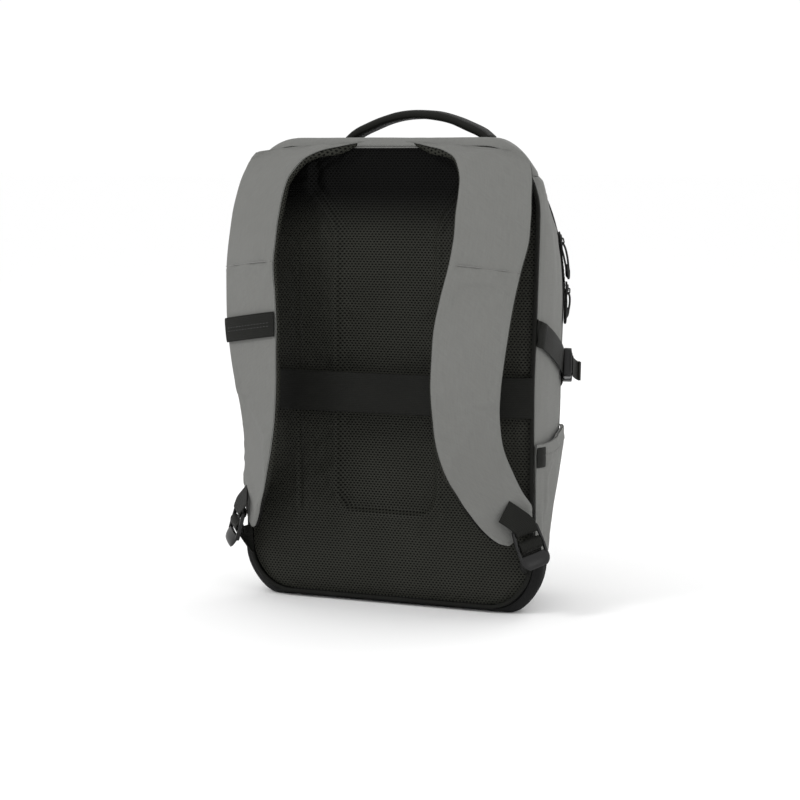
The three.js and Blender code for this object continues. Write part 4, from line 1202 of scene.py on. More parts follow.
def strap_spot(up, share, lift):
    """One point of the strap at a height."""
    row = np.interp(-up, -STRAP_CENTRE[:, 2], np.arange(STRAP_STEPS))
    rows = np.arange(STRAP_STEPS)
    centre, across, normal = (
        read_along(values, rows, row) for values in (STRAP_CENTRE, STRAP_ACROSS, STRAP_NORMAL)
    )
    return centre + across * share * np.interp(row, rows, STRAP_WIDE) + normal * lift


STRAP_SHARES = np.sin(np.linspace(-1, 1, 33) * math.pi / 2) * 0.25 + np.linspace(-1, 1, 33) * 0.25


def strap_crown(shares):
    return STRAP_CROWN * (1 - (2 * shares) ** 2)


def strap_grid(side, rows, columns):
    """A coarse grid over the face of a strap, and the points where it is sewn down."""
    shares = np.linspace(-0.5, 0.5, columns)
    picked = np.linspace(0, STRAP_STEPS - 1, rows).astype(int)
    lift = np.broadcast_to(strap_crown(shares), (STRAP_STEPS, columns))
    grid = flipped(strap_surface(shares, lift)[picked], side)
    pins = edge_share(rows, columns) == 0
    pins[np.abs(grid[..., 2].mean(axis=1) - STRAP_SEAM_UP).argmin()] = True
    return grid, pins


def strap_faces(moved):
    shares = STRAP_SHARES
    roll = STRAP_ROUND * ramp(np.abs(2 * shares), 0.88, 1) ** 2
    up = STRAP_CENTRE[:, 2:3]
    slant = STRAP_SEAM_SLANT * shares[None, :]
    groove = SEAM_GROOVE * bump(up + slant, STRAP_SEAM_UP, 1.6)
    seam = groove - SEAM_SWELL * bump(up + slant, STRAP_SEAM_UP - 3, 3)
    thick = STRAP_FACE * STRAP_PADDING / STRAP_PAD
    for side, word in SIDES:
        flat = flipped(strap_surface(shares, np.zeros((STRAP_STEPS, len(shares)))), side)
        soft = crumple(flat, 34, 61 + side) * 0.4 + crumple(flat, 12, 63 + side) * 0.1
        relief = (soft * (1 - np.abs(2 * shares) ** 4)[None, :]) - seam
        top = (strap_crown(shares) - roll)[None, :] + relief
        under = (strap_crown(shares) - 0.3)[None, :] - thick[:, None] + top * 0
        move = resample(moved[f"strap_{word}"], STRAP_STEPS, len(shares))
        front = flipped(strap_surface(shares, top), side) + move
        back = flipped(strap_surface(shares, under), side)
        add_piece(f"strap_cloth_{word}", sheet_body(front, back), GREY_CLOTH,
                  [f"strap_face_{word}"])


SEAM_ROD = 0.55


def strap_seams():
    """A fine crosswise seam on each strap."""
    shares = np.linspace(-0.485, 0.485, 40)
    ups = STRAP_SEAM_UP - STRAP_SEAM_SLANT * shares
    spots = [strap_spot(up, s, strap_crown(s) - 0.35) for up, s in zip(ups, shares)]
    add_pair("strap_seam_thread", strand(spots, SEAM_ROD), GREY_THREAD)


# The strap's padding: its depth at the top and lower down, the strap's length from its top end
# over which each change is made, and its ring as shares of the strap's width
TOP_PADDING = 11
PADDING = 6
TOP_ROUND = 26
TOP_DEEP_FROM = 20
TOP_DEEP_TO = 90
END_ROUND = 9
END_NARROW = 12
LINING_UPPER = np.linspace(-0.49, 0.49, 13)
LINING_EDGE = np.array([0.505, 0.512, 0.505])
LINING_BACK = np.linspace(0.47, -0.47, 17)
LINING_SHARES = np.concatenate([LINING_UPPER, LINING_EDGE, LINING_BACK, -LINING_EDGE])
EDGE_DEPTHS = np.array([0.3, 0.55, 0.8])
LAY_RING = 80


def strap_linings(moved):
    """Padded mesh under each strap, which shows as a round black edge beside the grey face."""
    body = lining_body(moved["lining"])
    for piece in add_pair("strap_pad", body, BLACK_MESH, "strap_lining"):
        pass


def lining_rings():
    """Rings round the padding: its upper side, an edge, its back and the other edge."""
    run = lengths_along(STRAP_CENTRE)
    near_top = 1 - ramp(run, 0, TOP_ROUND)
    deep = PADDING + (TOP_PADDING - PADDING) * (1 - ramp(run, TOP_DEEP_FROM, TOP_DEEP_TO))
    padding = np.maximum(STRAP_PADDING, deep * np.sqrt(np.clip(run / END_ROUND, 0.15, 1)))
    narrow = 1 - 0.16 * np.clip(1 - run / END_NARROW, 0, 1) ** 2
    face = STRAP_FACE * STRAP_PADDING / STRAP_PAD
    under_face = face + GAP + 0.3 + 1.2 * near_top
    back = 0.9 + 0.1 * (1 - (np.abs(LINING_BACK) / 0.5) ** 4)
    lift = np.concatenate([
        strap_crown(LINING_UPPER)[None, :] - under_face[:, None],
        -padding[:, None] * EDGE_DEPTHS[None, :],
        -padding[:, None] * back[None, :],
        -padding[:, None] * EDGE_DEPTHS[::-1][None, :],
    ], axis=1)
    across = STRAP_ACROSS[:, None, :] * (LINING_SHARES[None, :] * (STRAP_WIDE * narrow)[:, None])[..., None]
    return STRAP_CENTRE[:, None, :] + STRAP_NORMAL[:, None, :] * lift[..., None] + across


def lining_panel():
    """Every second ring of the padding, free on its back and held along both sewn edges."""
    rings = lining_rings()[::2]
    pins = np.zeros(rings.shape[:2], bool)
    pins[:, :len(LINING_UPPER) + 2] = True
    pins[:, -2:] = True
    pins[0] = pins[-1] = True
    outward = rings - rings.mean(axis=1, keepdims=True)
    return Panel(rings, outward, pressure=5, grow=0.01, cap=1.2, pins=pins, around=True)


def lining_body(move):
    rings = lining_rings()
    rings = rings + resample(move, *rings.shape[:2])
    rings[..., 1] = np.minimum(rings[..., 1], -2 * GAP)
    lay = np.zeros_like(rings)
    lay[..., 0] = lengths_along(rings[LAY_RING])[None, :]
    lay[..., 1] = lengths_along(STRAP_CENTRE)[:, None]
    return ring_body(rings, lay=lay)


SLEEVE_LOW = 271
SLEEVE_TALL = 24
SLEEVE_TILT = 10
SLEEVE_LIFT = 0.75
SLEEVE_TURN = 0.5
SLEEVE_SEWN = (0.43, 0.57)
LAID_GAP = 0.9


def sleeve_spot(rise, share, lift):
    """A point of the sleeve, at a rise up it and a share across the strap."""
    up = SLEEVE_LOW + SLEEVE_TALL * rise - SLEEVE_TILT * share
    return strap_spot(up, share, strap_crown(share) + SLEEVE_LIFT + lift)


def strap_sleeve():
    shares = np.linspace(-0.5, 0.5, 30)
    rises = np.linspace(0, 1, 12)
    grid = np.array([
        [sleeve_spot(rise, s, -SLEEVE_TURN * abs(2 * s) ** 6) for s in shares] for rise in rises
    ])
    normals = grid_normals(grid, np.array([0, -1, 0]))
    thick = WEB_THICK * (1 - 0.35 * np.abs(rises * 2 - 1) ** 8)
    front = grid + normals * thick[:, None, None]
    lay = lay_of(grid)[..., [1, 0, 2]]
    body = on_side(sheet_body(front, grid, lay), LEFT)
    add_piece("strap_sleeve_band", body, BLACK_WEBBING, ["strap_sleeve"])
    bodies = []
    for rise in SLEEVE_SEWN:
        row = np.array([sleeve_spot(rise, s, WEB_THICK) for s in shares[2:-2]])
        bodies += stitch_bodies(row, np.tile(normals[6, 15], (len(row), 1)))
    add_piece("strap_sleeve_thread", on_side(join_bodies(bodies), LEFT), BLACK_THREAD, [])


# Adjusters

LOCK_WIDTH = 33
LOCK_LONG = 38
LOCK_THICK = 4
LOCK_TOP_BAR = 4
LOCK_MIDDLE_BAR = 5
LOCK_LIP = 11
LOCK_TURN = math.radians(49)
LOCK_ROLL = math.radians(16)
LOCK_LEAN = math.radians(9)
LOCK_CENTRE = np.array([BODY_HALF_WIDTH, -0.264 * STRAP_STAND_OFF, 0.159 * BODY_HEIGHT])
END_TAB_UP = 110
WEB_SPREAD = 3.4
ANCHOR_UP = 57
ANCHOR_TALL = 29


def lock_frame():
    across = np.array([
        math.cos(LOCK_TURN) * math.cos(LOCK_ROLL),
        math.sin(LOCK_TURN) * math.cos(LOCK_ROLL),
        math.sin(LOCK_ROLL),
    ])
    level = np.array([math.sin(LOCK_TURN), -math.cos(LOCK_TURN), 0])
    down = np.cross(across, level)
    if down[2] > 0:
        down = -down
    out = level * math.cos(LOCK_LEAN) - down * math.sin(LOCK_LEAN)
    drop = down * math.cos(LOCK_LEAN) + level * math.sin(LOCK_LEAN)
    return across, drop, out


LOCK_ACROSS, LOCK_DOWN, LOCK_OUT = lock_frame()
LOCK_TOP = -LOCK_LONG / 2
BAR_LOW = LOCK_TOP + LOCK_TOP_BAR
MIDDLE_TOP = -LOCK_MIDDLE_BAR / 2 - 1
MIDDLE_LOW = MIDDLE_TOP + LOCK_MIDDLE_BAR
LIP_TOP = LOCK_LONG / 2 - LOCK_LIP
BESIDE_LOCK = LOCK_THICK / 2 + 2 * GAP + WEB_THICK / 2


def lock_at(along, proud):
    return LOCK_CENTRE + LOCK_DOWN * along + LOCK_OUT * proud


def rounded_bar(ends, wide, thick, count=9):
    """A moulded bar from one end to the other, with round edges and slimmer tips."""
    turn = turns(20)
    section_x = squared(np.cos(turn), 0.5) * wide / 2
    section_y = squared(np.sin(turn), 0.5) * thick / 2
    a, b = np.asarray(ends[0], float), np.asarray(ends[1], float)
    along = unit(b - a)
    side = unit(np.cross(along, np.array([0, 0, 1.0])))
    up = np.cross(side, along)
    t = np.linspace(-1, 1, count)
    shrink = np.where(np.abs(t) > 0.9, 0.72, 1.0)
    rings = np.array([
        [(a + b) / 2 + (b - a) / 2 * s + k * (side * x + up * y) for x, y in zip(section_x, section_y)]
        for s, k in zip(t, shrink)
    ])
    return ring_body(rings)


# The lock's rails and its broad curved lip
LOCK_SLENDER = 1.1
RAIL_WIDE = 2.5
RAIL_BOW = 0.4
RAIL_DRAW = 0.8
TOP_BAR_THICK = 3.8
MIDDLE_BAR_THICK = 3
LIP_LONG = 14
LIP_WIDER = 0.6
LIP_ROUND = 0.62
LIP_RISE = 1.6
LIP_BEND = 3.4
LIP_BOW = 1.5
LIP_THICK = 2.6
LOCK_CREASE = 50


def lock_bars(half):
    """Two rails that bend at the middle, a top bar and a middle bar."""
    x = half - RAIL_WIDE / 2
    bars = []
    for sign in (-1, 1):
        high = (sign * (x - RAIL_DRAW), LOCK_TOP + 1.2, 0)
        middle = (sign * (x + RAIL_BOW), 0, 0.6)
        low = (sign * x, LIP_TOP + 4, 1.0)
        bars.append(rounded_bar((high, middle), RAIL_WIDE, LOCK_THICK, 15))
        bars.append(rounded_bar((middle, low), RAIL_WIDE, LOCK_THICK + 0.6, 15))
    top, middle = LOCK_TOP + LOCK_TOP_BAR / 2, (MIDDLE_TOP + MIDDLE_LOW) / 2
    bars.append(rounded_bar(((-x, top, 0), (x, top, 0)), LOCK_TOP_BAR, TOP_BAR_THICK, 15))
    bars.append(rounded_bar(((-x, middle, -0.3), (x, middle, -0.3)), LOCK_MIDDLE_BAR, MIDDLE_BAR_THICK, 15))
    return bars


def lock_lip(half):
    """The broad lip: rounded at its end, and bent out and over."""
    rows, columns = 26, 30
    t = np.linspace(0, 1, rows)[:, None]
    spread = np.linspace(-1, 1, columns)[None, :]
    across = spread * (half + LIP_WIDER) * np.sqrt(np.clip(1 - LIP_ROUND * t**3.2, 0, 1))
    along = LIP_TOP + LIP_LONG * t + across * 0
    bend = LIP_RISE + LIP_BEND * np.sin(t * math.pi * 0.62) + LIP_BOW * (1 - (across / half) ** 2)
    rim = np.maximum(np.abs(spread) ** 8, t**10)
    front = np.stack([across, along, bend - rim], axis=-1)
    back = np.stack([across * 0.96, along - 0.5 * t**4, bend - LIP_THICK + 0.6 * rim], axis=-1)
    return sheet_body(front, back)


def ladder_locks():
    """Two rails, a top bar, a middle bar and a broad curved lip, moulded in one."""
    half = LOCK_WIDTH / 2 - LOCK_SLENDER
    body = join_bodies(lock_bars(half) + [lock_lip(half)])
    body = placed_in(body, LOCK_CENTRE, LOCK_ACROSS, LOCK_DOWN, LOCK_OUT)
    add_pair("adjuster", body, BLACK_PLASTIC, "ladder_lock", LOCK_CREASE)


def end_tabs():
    clear = BESIDE_LOCK - GAP
    start = strap_spot(END_TAB_UP, 0, STRAP_CROWN + 2 * LAID_GAP + WEB_THICK / 2)
    path = [
        start,
        start * 0.5 + lock_at(LOCK_TOP - 2, clear) * 0.5,
        lock_at(LOCK_TOP, clear),
        lock_at(BAR_LOW + WEB_THICK / 2, clear),
        lock_at(BAR_LOW + clear, 0),
        lock_at(BAR_LOW + WEB_THICK / 2, -clear),
        lock_at(LOCK_TOP - WEB_THICK, -clear),
    ]
    strap_across = unit(strap_spot(END_TAB_UP, 0.1, 0) - strap_spot(END_TAB_UP, 0, 0))
    acrosses = [strap_across * (1 - min(i / 2, 1)) + LOCK_ACROSS * min(i / 2, 1) for i in range(len(path))]
    body = webbing_body(path, acrosses, WEB_WIDTH - 2 * GAP, WEB_THICK)
    add_pair("strap_end", body, BLACK_WEBBING, "strap_end_tab")


def lower_webbings():
    low = LIP_TOP + 0.4 * LOCK_LIP
    path = [
        lock_at(low, -BESIDE_LOCK - WEB_SPREAD),
        lock_at(LIP_TOP + 0.4 * WEB_THICK, -BESIDE_LOCK),
        lock_at(LIP_TOP - 2 * WEB_THICK, WEB_THICK - BESIDE_LOCK),
        lock_at(MIDDLE_LOW + 1.7 * WEB_THICK, BESIDE_LOCK - 1.5 * WEB_THICK),
        lock_at(MIDDLE_LOW, BESIDE_LOCK),
        lock_at(MIDDLE_TOP, BESIDE_LOCK),
        lock_at(MIDDLE_TOP - 2 * WEB_THICK, 0),
        lock_at(MIDDLE_TOP, -BESIDE_LOCK),
        lock_at(MIDDLE_LOW + 2 * WEB_THICK, -BESIDE_LOCK - WEB_SPREAD),
    ]
    body = webbing_body(path, [LOCK_ACROSS] * len(path), WEB_WIDTH - 2 * GAP, WEB_THICK, 90)
    add_pair("adjuster_webbing", body, BLACK_WEBBING, "lower_webbing")


def webbing_anchors():
    start = lock_at(LIP_TOP + 0.4 * LOCK_LIP + GAP, -BESIDE_LOCK - WEB_SPREAD - GAP)
    edge = float(reach(section(0.0), ANCHOR_UP)) - BINDING_WIDTH
    seam = np.array([edge, -BINDING_BACK - GAP - WEB_THICK / 2, ANCHOR_UP])
    upright = np.array([0, 0, 1.0])
    t = np.linspace(0, 1, 16)
    across = unit(LOCK_ACROSS * (1 - t[:, None]) + upright * t[:, None])
    wide = WEB_WIDTH + (ANCHOR_TALL - WEB_WIDTH) * t
    middle = start * (1 - t[:, None]) + seam * t[:, None]
    shares = np.linspace(-0.5, 0.5, 14)
    grid = middle[:, None, :] + across[:, None, :] * (shares[None, :] * wide[:, None])[..., None]
    normals = grid_normals(grid, LOCK_OUT)
    body = sheet_body(grid + normals * WEB_THICK / 2, grid - normals * WEB_THICK / 2)
    add_pair("anchor", body, BLACK_WEBBING, "webbing_anchor")


# Side pockets, side straps and label

POCKET_BACK = 16
POCKET_FRONT = 116
POCKET_BULGE = 6
POCKET_RIM_BACK = 171
POCKET_RIM_RISE = 12
POCKET_RIM_DIP = 5
POCKET_GATHER = 0.72
POCKET_CLOTH = 1.1
POCKET_WALL = 1.4
HEM_TALL = 11
HEM_ROLL = 1.8
HEM_STITCH = (2.2, 1.2, 0.45)
SIDE_STRAP_BACK_UP = 281
SIDE_STRAP_FALL = 46
SIDE_STRAP_END = 84
STUB_LONG = 24
BUCKLE_LONG = 34
BUCKLE_WIDE = 30
BUCKLE_THICK = 10
BUCKLE_BAR = 2.6
BUCKLE_CREASE = 40
TAIL_LONG = 24
TAIL_WIDE = 20
TAIL_LIFT = 7
TAIL_SUNK = 0.6
TAIL_START = 0.16
STRAP_SEAM_DEPTH = 1.2
STRAP_SEAM_START = -4
LABEL_UP = 148
LABEL_TALL = 20


def pocket_wall(side, depths, rises, lift):
    """Points on a pocket's inner face: flat behind its back seam, and slack before it."""
    depth, rise = np.meshgrid(depths, rises)
    share = np.clip((depth - POCKET_BACK) / (POCKET_FRONT - POCKET_BACK), 0, 1)
    rim = POCKET_RIM_BACK + POCKET_RIM_RISE * np.sin(share * math.pi / 2) ** 2
    rim = rim - POCKET_RIM_DIP * ramp(share, 0.35, 1)
    base = FOOT_SEAM + GAP
    up = base + (rim - base) * rise
    gathered = 1 - POCKET_GATHER * ramp(up, rim - 10, rim + 1)
    bulge = POCKET_BULGE * np.sqrt(np.maximum(np.sin(share * math.pi), 0)) * np.clip(rise, 0, 1)
    return flipped(side_point(depth, up, LAID_GAP + bulge * gathered + lift)[0], side)


def pocket_depths(columns):
    return np.linspace(PANEL_START, POCKET_FRONT, columns)


def pocket_relief(depths, top_up, high):
    """The pocket's rolled hem and its seam, the fold at its back and the gathers at its rim."""
    hem = 0.8 * bump(top_up, high - 2, 4) + 0.35 * ramp(top_up, high - HEM_TALL, high - HEM_TALL + 1)
    seam = -0.5 * bump(top_up, high - HEM_TALL - 0.5, 1.6)
    fold = 0.5 * bump(depths, POCKET_BACK, 1.6)[None, :]
    gathers = np.sin(depths * 0.9) * 0.2 * ramp(depths, 30, 50)
    return hem + seam - fold + gathers[None, :] * bump(top_up, high - 12, 14)


def bottle_pockets(moved):
    """Pockets with a gathered rim, and a fold where they leave the side."""
    rows, columns = 84, 84
    rises = np.linspace(0, 1, rows)
    depths = pocket_depths(columns)
    high = POCKET_RIM_BACK - FOOT_SEAM
    top_up = rises[:, None] * high
    relief = pocket_relief(depths, top_up, high)
    thick = POCKET_WALL + HEM_ROLL * bump(top_up, high, 5)
    sewn = int(np.interp(high - HEM_TALL + 1.4, top_up[:, 0], np.arange(rows)))
    for side, word in SIDES:
        outer = pocket_wall(side, depths, rises, POCKET_CLOTH)
        outer = outer + resample(moved[f"pocket_{word}"], rows, columns)
        normals = grid_normals(outer, np.array([side, 0, 0]))
        front = slack(outer, normals, 71 + side, 0.8, 0.06) + normals * relief[..., None]
        body = sheet_body(front, front - normals * thick[..., None])
        add_piece(f"pocket_cloth_{word}", body, GREY_CLOTH, [f"bottle_pocket_{word}"])
        thread = stitch_bodies(front[sewn] + normals[sewn] * 0.1, normals[sewn], *HEM_STITCH)
        add_piece(f"pocket_thread_{word}", join_bodies(thread), GREY_THREAD, [])


def side_strap_spot(depth, lift):
    up = SIDE_STRAP_BACK_UP - SIDE_STRAP_FALL * np.asarray(depth, float) / MAIN_SEAM
    return side_point(depth, up, lift)


def side_strap_body(start, end, count):
    """Webbing on the side of the bag. An end behind the back seam is cut along the seam."""
    depths = np.linspace(start, end, count)
    spots, normals = side_strap_spot(depths, LAID_GAP + WEB_THICK / 2 + depths * 0)
    acrosses = np.cross(np.tile(spots[-1] - spots[0], (count, 1)), normals)
    rings, lay = webbing_rings(spots, unit(acrosses), WEB_WIDTH, WEB_THICK)
    rings[..., 1] = np.maximum(rings[..., 1], STRAP_SEAM_DEPTH)
    return ring_body(rings, lay=lay)


BUCKLE_END = SIDE_STRAP_END + GAP + BUCKLE_LONG


def buckle_frame():
    start = side_strap_spot(SIDE_STRAP_END + GAP, LAID_GAP + WEB_THICK / 2)[0]
    end = side_strap_spot(BUCKLE_END, LAID_GAP + WEB_THICK / 2)[0]
    along = unit(end - start)
    normal = side_strap_spot((SIDE_STRAP_END + BUCKLE_END) / 2, 0.0)[1]
    across = unit(np.cross(normal, along))
    return (start + end) / 2, along, across, unit(np.cross(along, across))


BUCKLE_CENTRE, BUCKLE_ALONG, BUCKLE_ACROSS, BUCKLE_OUT = buckle_frame()


def plate_body(outline, low, high, soft=0.8):
    """A moulded plate from an outline, with its edges rounded at both faces."""
    outline = np.asarray(outline, float)
    centre = outline.mean(axis=0)
    reach_out = np.linalg.norm(outline - centre, axis=1, keepdims=True)
    inner = centre + (outline - centre) * (1 - soft / reach_out)
    mid = centre + (outline - centre) * (1 - 0.3 * soft / reach_out)
    rows = ((inner, low), (mid, low + 0.3 * soft), (outline, low + soft), (outline, high - soft),
            (mid, high - 0.3 * soft), (inner, high))
    rings = np.array([np.column_stack([o, np.full(len(o), z)]) for o, z in rows])
    return ring_body(rings)


def side_buckles():
    """A fastened side-release buckle: a socket, and a plug whose two arms show in its sides."""
    half = BUCKLE_WIDE / 2
    end = BUCKLE_LONG / 2 - GAP
    socket_outline = [
        (end, -half + 4), (end, half - 4), (end - 3, half - 2), (2, half), (-1, half - 1),
        (-1.5, half - 5), (-3, half - 7), (-3, -half + 7), (-1.5, -half + 5), (-1, -half + 1),
        (2, -half), (end - 3, -half + 2),
    ]
    plug_outline = [
        (-end, -half + 2), (-end + 2, -half), (-7, -half), (-4, -half + 2), (-4, half - 2),
        (-7, half), (-end + 2, half), (-end, half - 2),
    ]
    arm = [(-8, 4), (-2, 3.2), (4, 2.2), (7, 0), (4, -2.4), (-8, -3)]
    arms = [[(x, sign * (half - 3.5) + sign * y * 0.8) for x, y in arm] for sign in (-1, 1)]
    bodies = [
        plate_body(socket_outline, 0.3, BUCKLE_THICK, 1.2),
        plate_body(plug_outline, 0.8, BUCKLE_THICK - 1.2, 1.0),
        plate_body(arms[0][::-1], 2.4, BUCKLE_THICK - 2.6, 0.6),
        plate_body(arms[1], 2.4, BUCKLE_THICK - 2.6, 0.6),
    ]
    for x in (-end + 1.2, end - 1.2):
        ends = ((x, -half + 3, BUCKLE_THICK - 2), (x, half - 3, BUCKLE_THICK - 2))
        bodies.append(rounded_bar(ends, BUCKLE_BAR, BUCKLE_BAR))
    body = placed_in(join_bodies(bodies), BUCKLE_CENTRE, BUCKLE_ALONG, BUCKLE_ACROSS, BUCKLE_OUT)
    add_pair("buckle", body, BLACK_PLASTIC, "side_buckle", BUCKLE_CREASE)


def strap_tail():
    """The loose end, which leaves the buckle's face and curves off the side, with its hem."""
    on_face = BUCKLE_THICK + WEB_THICK / 2 - TAIL_SUNK
    top = BUCKLE_CENTRE + BUCKLE_OUT * on_face - BUCKLE_ALONG * BUCKLE_LONG * TAIL_START
    shares = np.linspace(0, 1, 8)[:, None]
    path = top + BUCKLE_ALONG * shares * TAIL_LONG + BUCKLE_OUT * TAIL_LIFT * shares**2
    body = webbing_body(path, [BUCKLE_ACROSS] * 8, TAIL_WIDE, WEB_THICK, 30)
    hem = webbing_body(path[6:] + BUCKLE_OUT * WEB_THICK, [BUCKLE_ACROSS] * 2, TAIL_WIDE, WEB_THICK, 8)
    return join_bodies([body, hem])


def side_straps():
    """Each side's strap: webbing to the buckle, webbing past it, and the loose end."""
    back = side_strap_body(STRAP_SEAM_START, SIDE_STRAP_END, 60)
    front = side_strap_body(BUCKLE_END + GAP, BUCKLE_END + STUB_LONG, 20)
    parts = (
        ("side_webbing", back, "side_strap"),
        ("side_webbing_front", front, "side_strap_front"),
        ("side_webbing_tail", strap_tail(), "strap_tail"),
    )
    for side, word in SIDES:
        for name, body, node in parts:
            add_piece(f"{name}_{word}", on_side(body, side), BLACK_WEBBING,
                      [f"{node}_{word}"])


def side_label():
    """A folded tab, sewn on behind the pocket's back seam."""
    depths = np.linspace(PANEL_START + GAP, POCKET_BACK - GAP, 20)
    ups = np.linspace(LABEL_UP, LABEL_UP + LABEL_TALL, 24)
    lift = np.full((24, 20), LAID_GAP + POCKET_CLOTH + 0.2)
    grid, normals = side_point(depths[None, :], ups[:, None], lift)
    share = np.linspace(-1, 1, 24)[:, None]
    relief = 0.5 * np.sqrt(1 - 0.96 * share**4) - 0.35 * bump(share, 0.1, 0.12)
    front = grid + normals * (WEB_THICK / 2 + relief)[..., None]
    add_piece("side_tab", sheet_body(front, grid), BLACK_TAPE, ["side_label"])


# Zip

ZIP_WIDTH = 15
ZIP_THICK = 1.6
ZIP_FOOT = 296
ZIP_TAPE_THICK = 0.9
ZIP_SPLIT = 0.25
TOOTH_STEP = 1.9
TOOTH_LIFT = 0.45
TOOTH_HALF = 0.62
TOOTH_HIGH = 0.45
TOOTH_LOW = 0.4
TOOTH_OVER = 0.5
TOOTH_FOOT = 2
TOOTH_TAPER = 0.8
END_TAB_HALF_WIDE = 10.5
END_TAB_HALF_TALL = 11
END_TAB_SHIFT = 3
END_TAB_THICK = 1.5
SLIDER_UPS = (368, 318)
SLIDER_LONG = 13
SLIDER_WIDE = 8
SLIDER_THICK = 3
PULL_LONGS = (42, 30)
PULL_HANGS = ((0.16, 0.1, -1.0), (-0.02, -0.12, -1.0))
PULL_LIFT = SLIDER_THICK - 1.2
PULL_DROP = 4
PULL_END = 5
RING_ROD = 0.7
LOOP_ROD = 1.1
LOOP_HALF = 2.5
LOOP_BOW = 1.2
LOOP_DROP = 0.6
GRIP_ROD = 2.3
GRIP_FROM = 0.62
GRIP_LONG = 0.42
GRIP_STEPS = np.linspace(0, 1, 14)
SLIDER_CREASE = 40

# The ring's outline across and down its face, and the loop's shares of its length, down and up
RING_OUTLINE = (
    (-2, -3), (0, -3.4), (2, -3), (2.4, -0.5), (2.2, 1.5), (0, 2.2), (-2.2, 1.5), (-2.4, -0.5),
)
LOOP_SHARES = ((1, (0, 0.12, 0.4, 0.7, 0.92)), (-1, (0.96, 0.7, 0.4, 0.12)))


def zip_line(depth, lift, count=120):
    s = section(depth, -lift)
    arc = crown_points(s, depth, np.linspace(crown_angle(s, ZIP_FOOT), math.pi / 2, count))
    return with_left(np.concatenate([arc, to_middle(arc[-1], count // 3)]))


def zip_tape():
    shares = np.linspace(-0.5, 0.5, 13)
    depths = MAIN_SEAM + ZIP_WIDTH * shares
    lifts = LAID_GAP + ZIP_TAPE_THICK - ZIP_SPLIT * bump(shares, 0, 0.12)
    inner = np.stack([zip_line(d, LAID_GAP) for d in depths], axis=1)
    outer = np.stack([zip_line(d, lift) for d, lift in zip(depths, lifts)], axis=1)
    add_piece("zip_tape", sheet_body(outer, inner), BLACK_TAPE, ["main_zip"])


def tooth_body(place, along, across, normal):
    """One small tooth that reaches over the middle of the zip."""
    square = [
        TOOTH_HALF * a * along + (TOOTH_HIGH if b > 0 else -TOOTH_LOW) * normal
        for a, b in ((1, -1), (1, 1), (-1, 1), (-1, -1))
    ]
    tip, foot = place - across * TOOTH_OVER, place + across * TOOTH_FOOT
    return ring_body(np.array([[tip + q * TOOTH_TAPER for q in square], [foot + q for q in square]]))


def zip_teeth():
    lift = LAID_GAP + ZIP_TAPE_THICK + TOOTH_LIFT
    line = zip_line(MAIN_SEAM, lift, 200)
    front = zip_line(MAIN_SEAM + 1, lift, 200)
    run = lengths_along(line)
    centre = np.array([0, MAIN_SEAM, BODY_HEIGHT * 0.5])
    bodies = []
    for i, where in enumerate(np.arange(TOOTH_STEP, run[-1] - TOOTH_STEP, TOOTH_STEP)):
        place = read_along(line, run, where)
        along = unit(read_along(line, run, where + 0.5) - read_along(line, run, where - 0.5))
        across = unit(read_along(front, run, where) - place)
        normal = unit(np.cross(along, across))
        if np.dot(normal, place - centre) < 0:
            normal = -normal
        bodies.append(tooth_body(place, along, across if i % 2 else -across, normal))
    add_piece("zip_teeth", join_bodies(bodies), BLACK_PLASTIC, [])


def slider_frame(up):
    lift = LAID_GAP + ZIP_THICK + GAP
    place, normal = side_point(float(MAIN_SEAM), up, lift)
    below = side_point(float(MAIN_SEAM), up - SLIDER_LONG, lift)[0]
    down = unit(below - place)
    across = unit(np.cross(down, normal))
    return place, unit(np.cross(across, down)), down, across


def zip_end_tabs():
    """A cloth tab with a rounded foot over each end of the zip."""
    rises = np.linspace(-1, 1, 24)[:, None]
    shares = np.linspace(-1, 1, 20)[None, :]
    half = END_TAB_HALF_WIDE * np.clip(1 - np.clip(-rises, 0, 1) ** 4, 0.02, 1) ** 0.25
    depth = MAIN_SEAM - END_TAB_SHIFT + shares * half
    up = ZIP_FOOT - END_TAB_SHIFT + rises * END_TAB_HALF_TALL + depth * 0
    grid, normals = side_point(depth, up, np.full(depth.shape, LAID_GAP + ZIP_TAPE_THICK))
    edge = np.maximum(np.abs(shares) ** 6, np.abs(rises) ** 6)
    proud = END_TAB_THICK - 0.9 * edge - 0.35 * bump(np.abs(shares), 0.8, 0.1)
    body = sheet_body(grid + normals * proud[..., None], grid - normals)
    add_pair("zip_end", body, BLACK_CLOTH)


def pull_bodies(place, normal, down, across, long, hang):
    """A square ring through the slider, a moulded loop of two strands, and its thick grip."""
    top = place + normal * PULL_LIFT + down * PULL_DROP
    face = unit(across * 0.55 + normal * 0.85)
    ring = [top + face * x + hang * y for x, y in RING_OUTLINE]
    run = long - PULL_END
    loop = []
    for sign, shares in LOOP_SHARES:
        for s in shares:
            half = LOOP_HALF * math.sin(math.pi * min(s / 0.24, 1) / 2) * (1 - 0.62 * s)
            bow = LOOP_BOW * math.sin(math.pi * s)
            loop.append(top + hang * (LOOP_DROP + s * run) + face * half * sign + normal * bow)
    grip = [
        top + hang * (LOOP_DROP + (GRIP_FROM + GRIP_LONG * s) * run)
        + normal * LOOP_BOW * math.sin(math.pi * (GRIP_FROM + 0.3 * s))
        for s in GRIP_STEPS
    ]
    swell = np.sin(np.pi * np.clip(GRIP_STEPS * 0.86 + 0.09, 0, 1)) ** 0.45
    return [
        strand(smooth_loop(ring, 32), RING_ROD, looped=True),
        strand(smooth_loop(loop, 72), LOOP_ROD, looped=True),
        strand(grip, GRIP_ROD * swell, around=14),
    ]


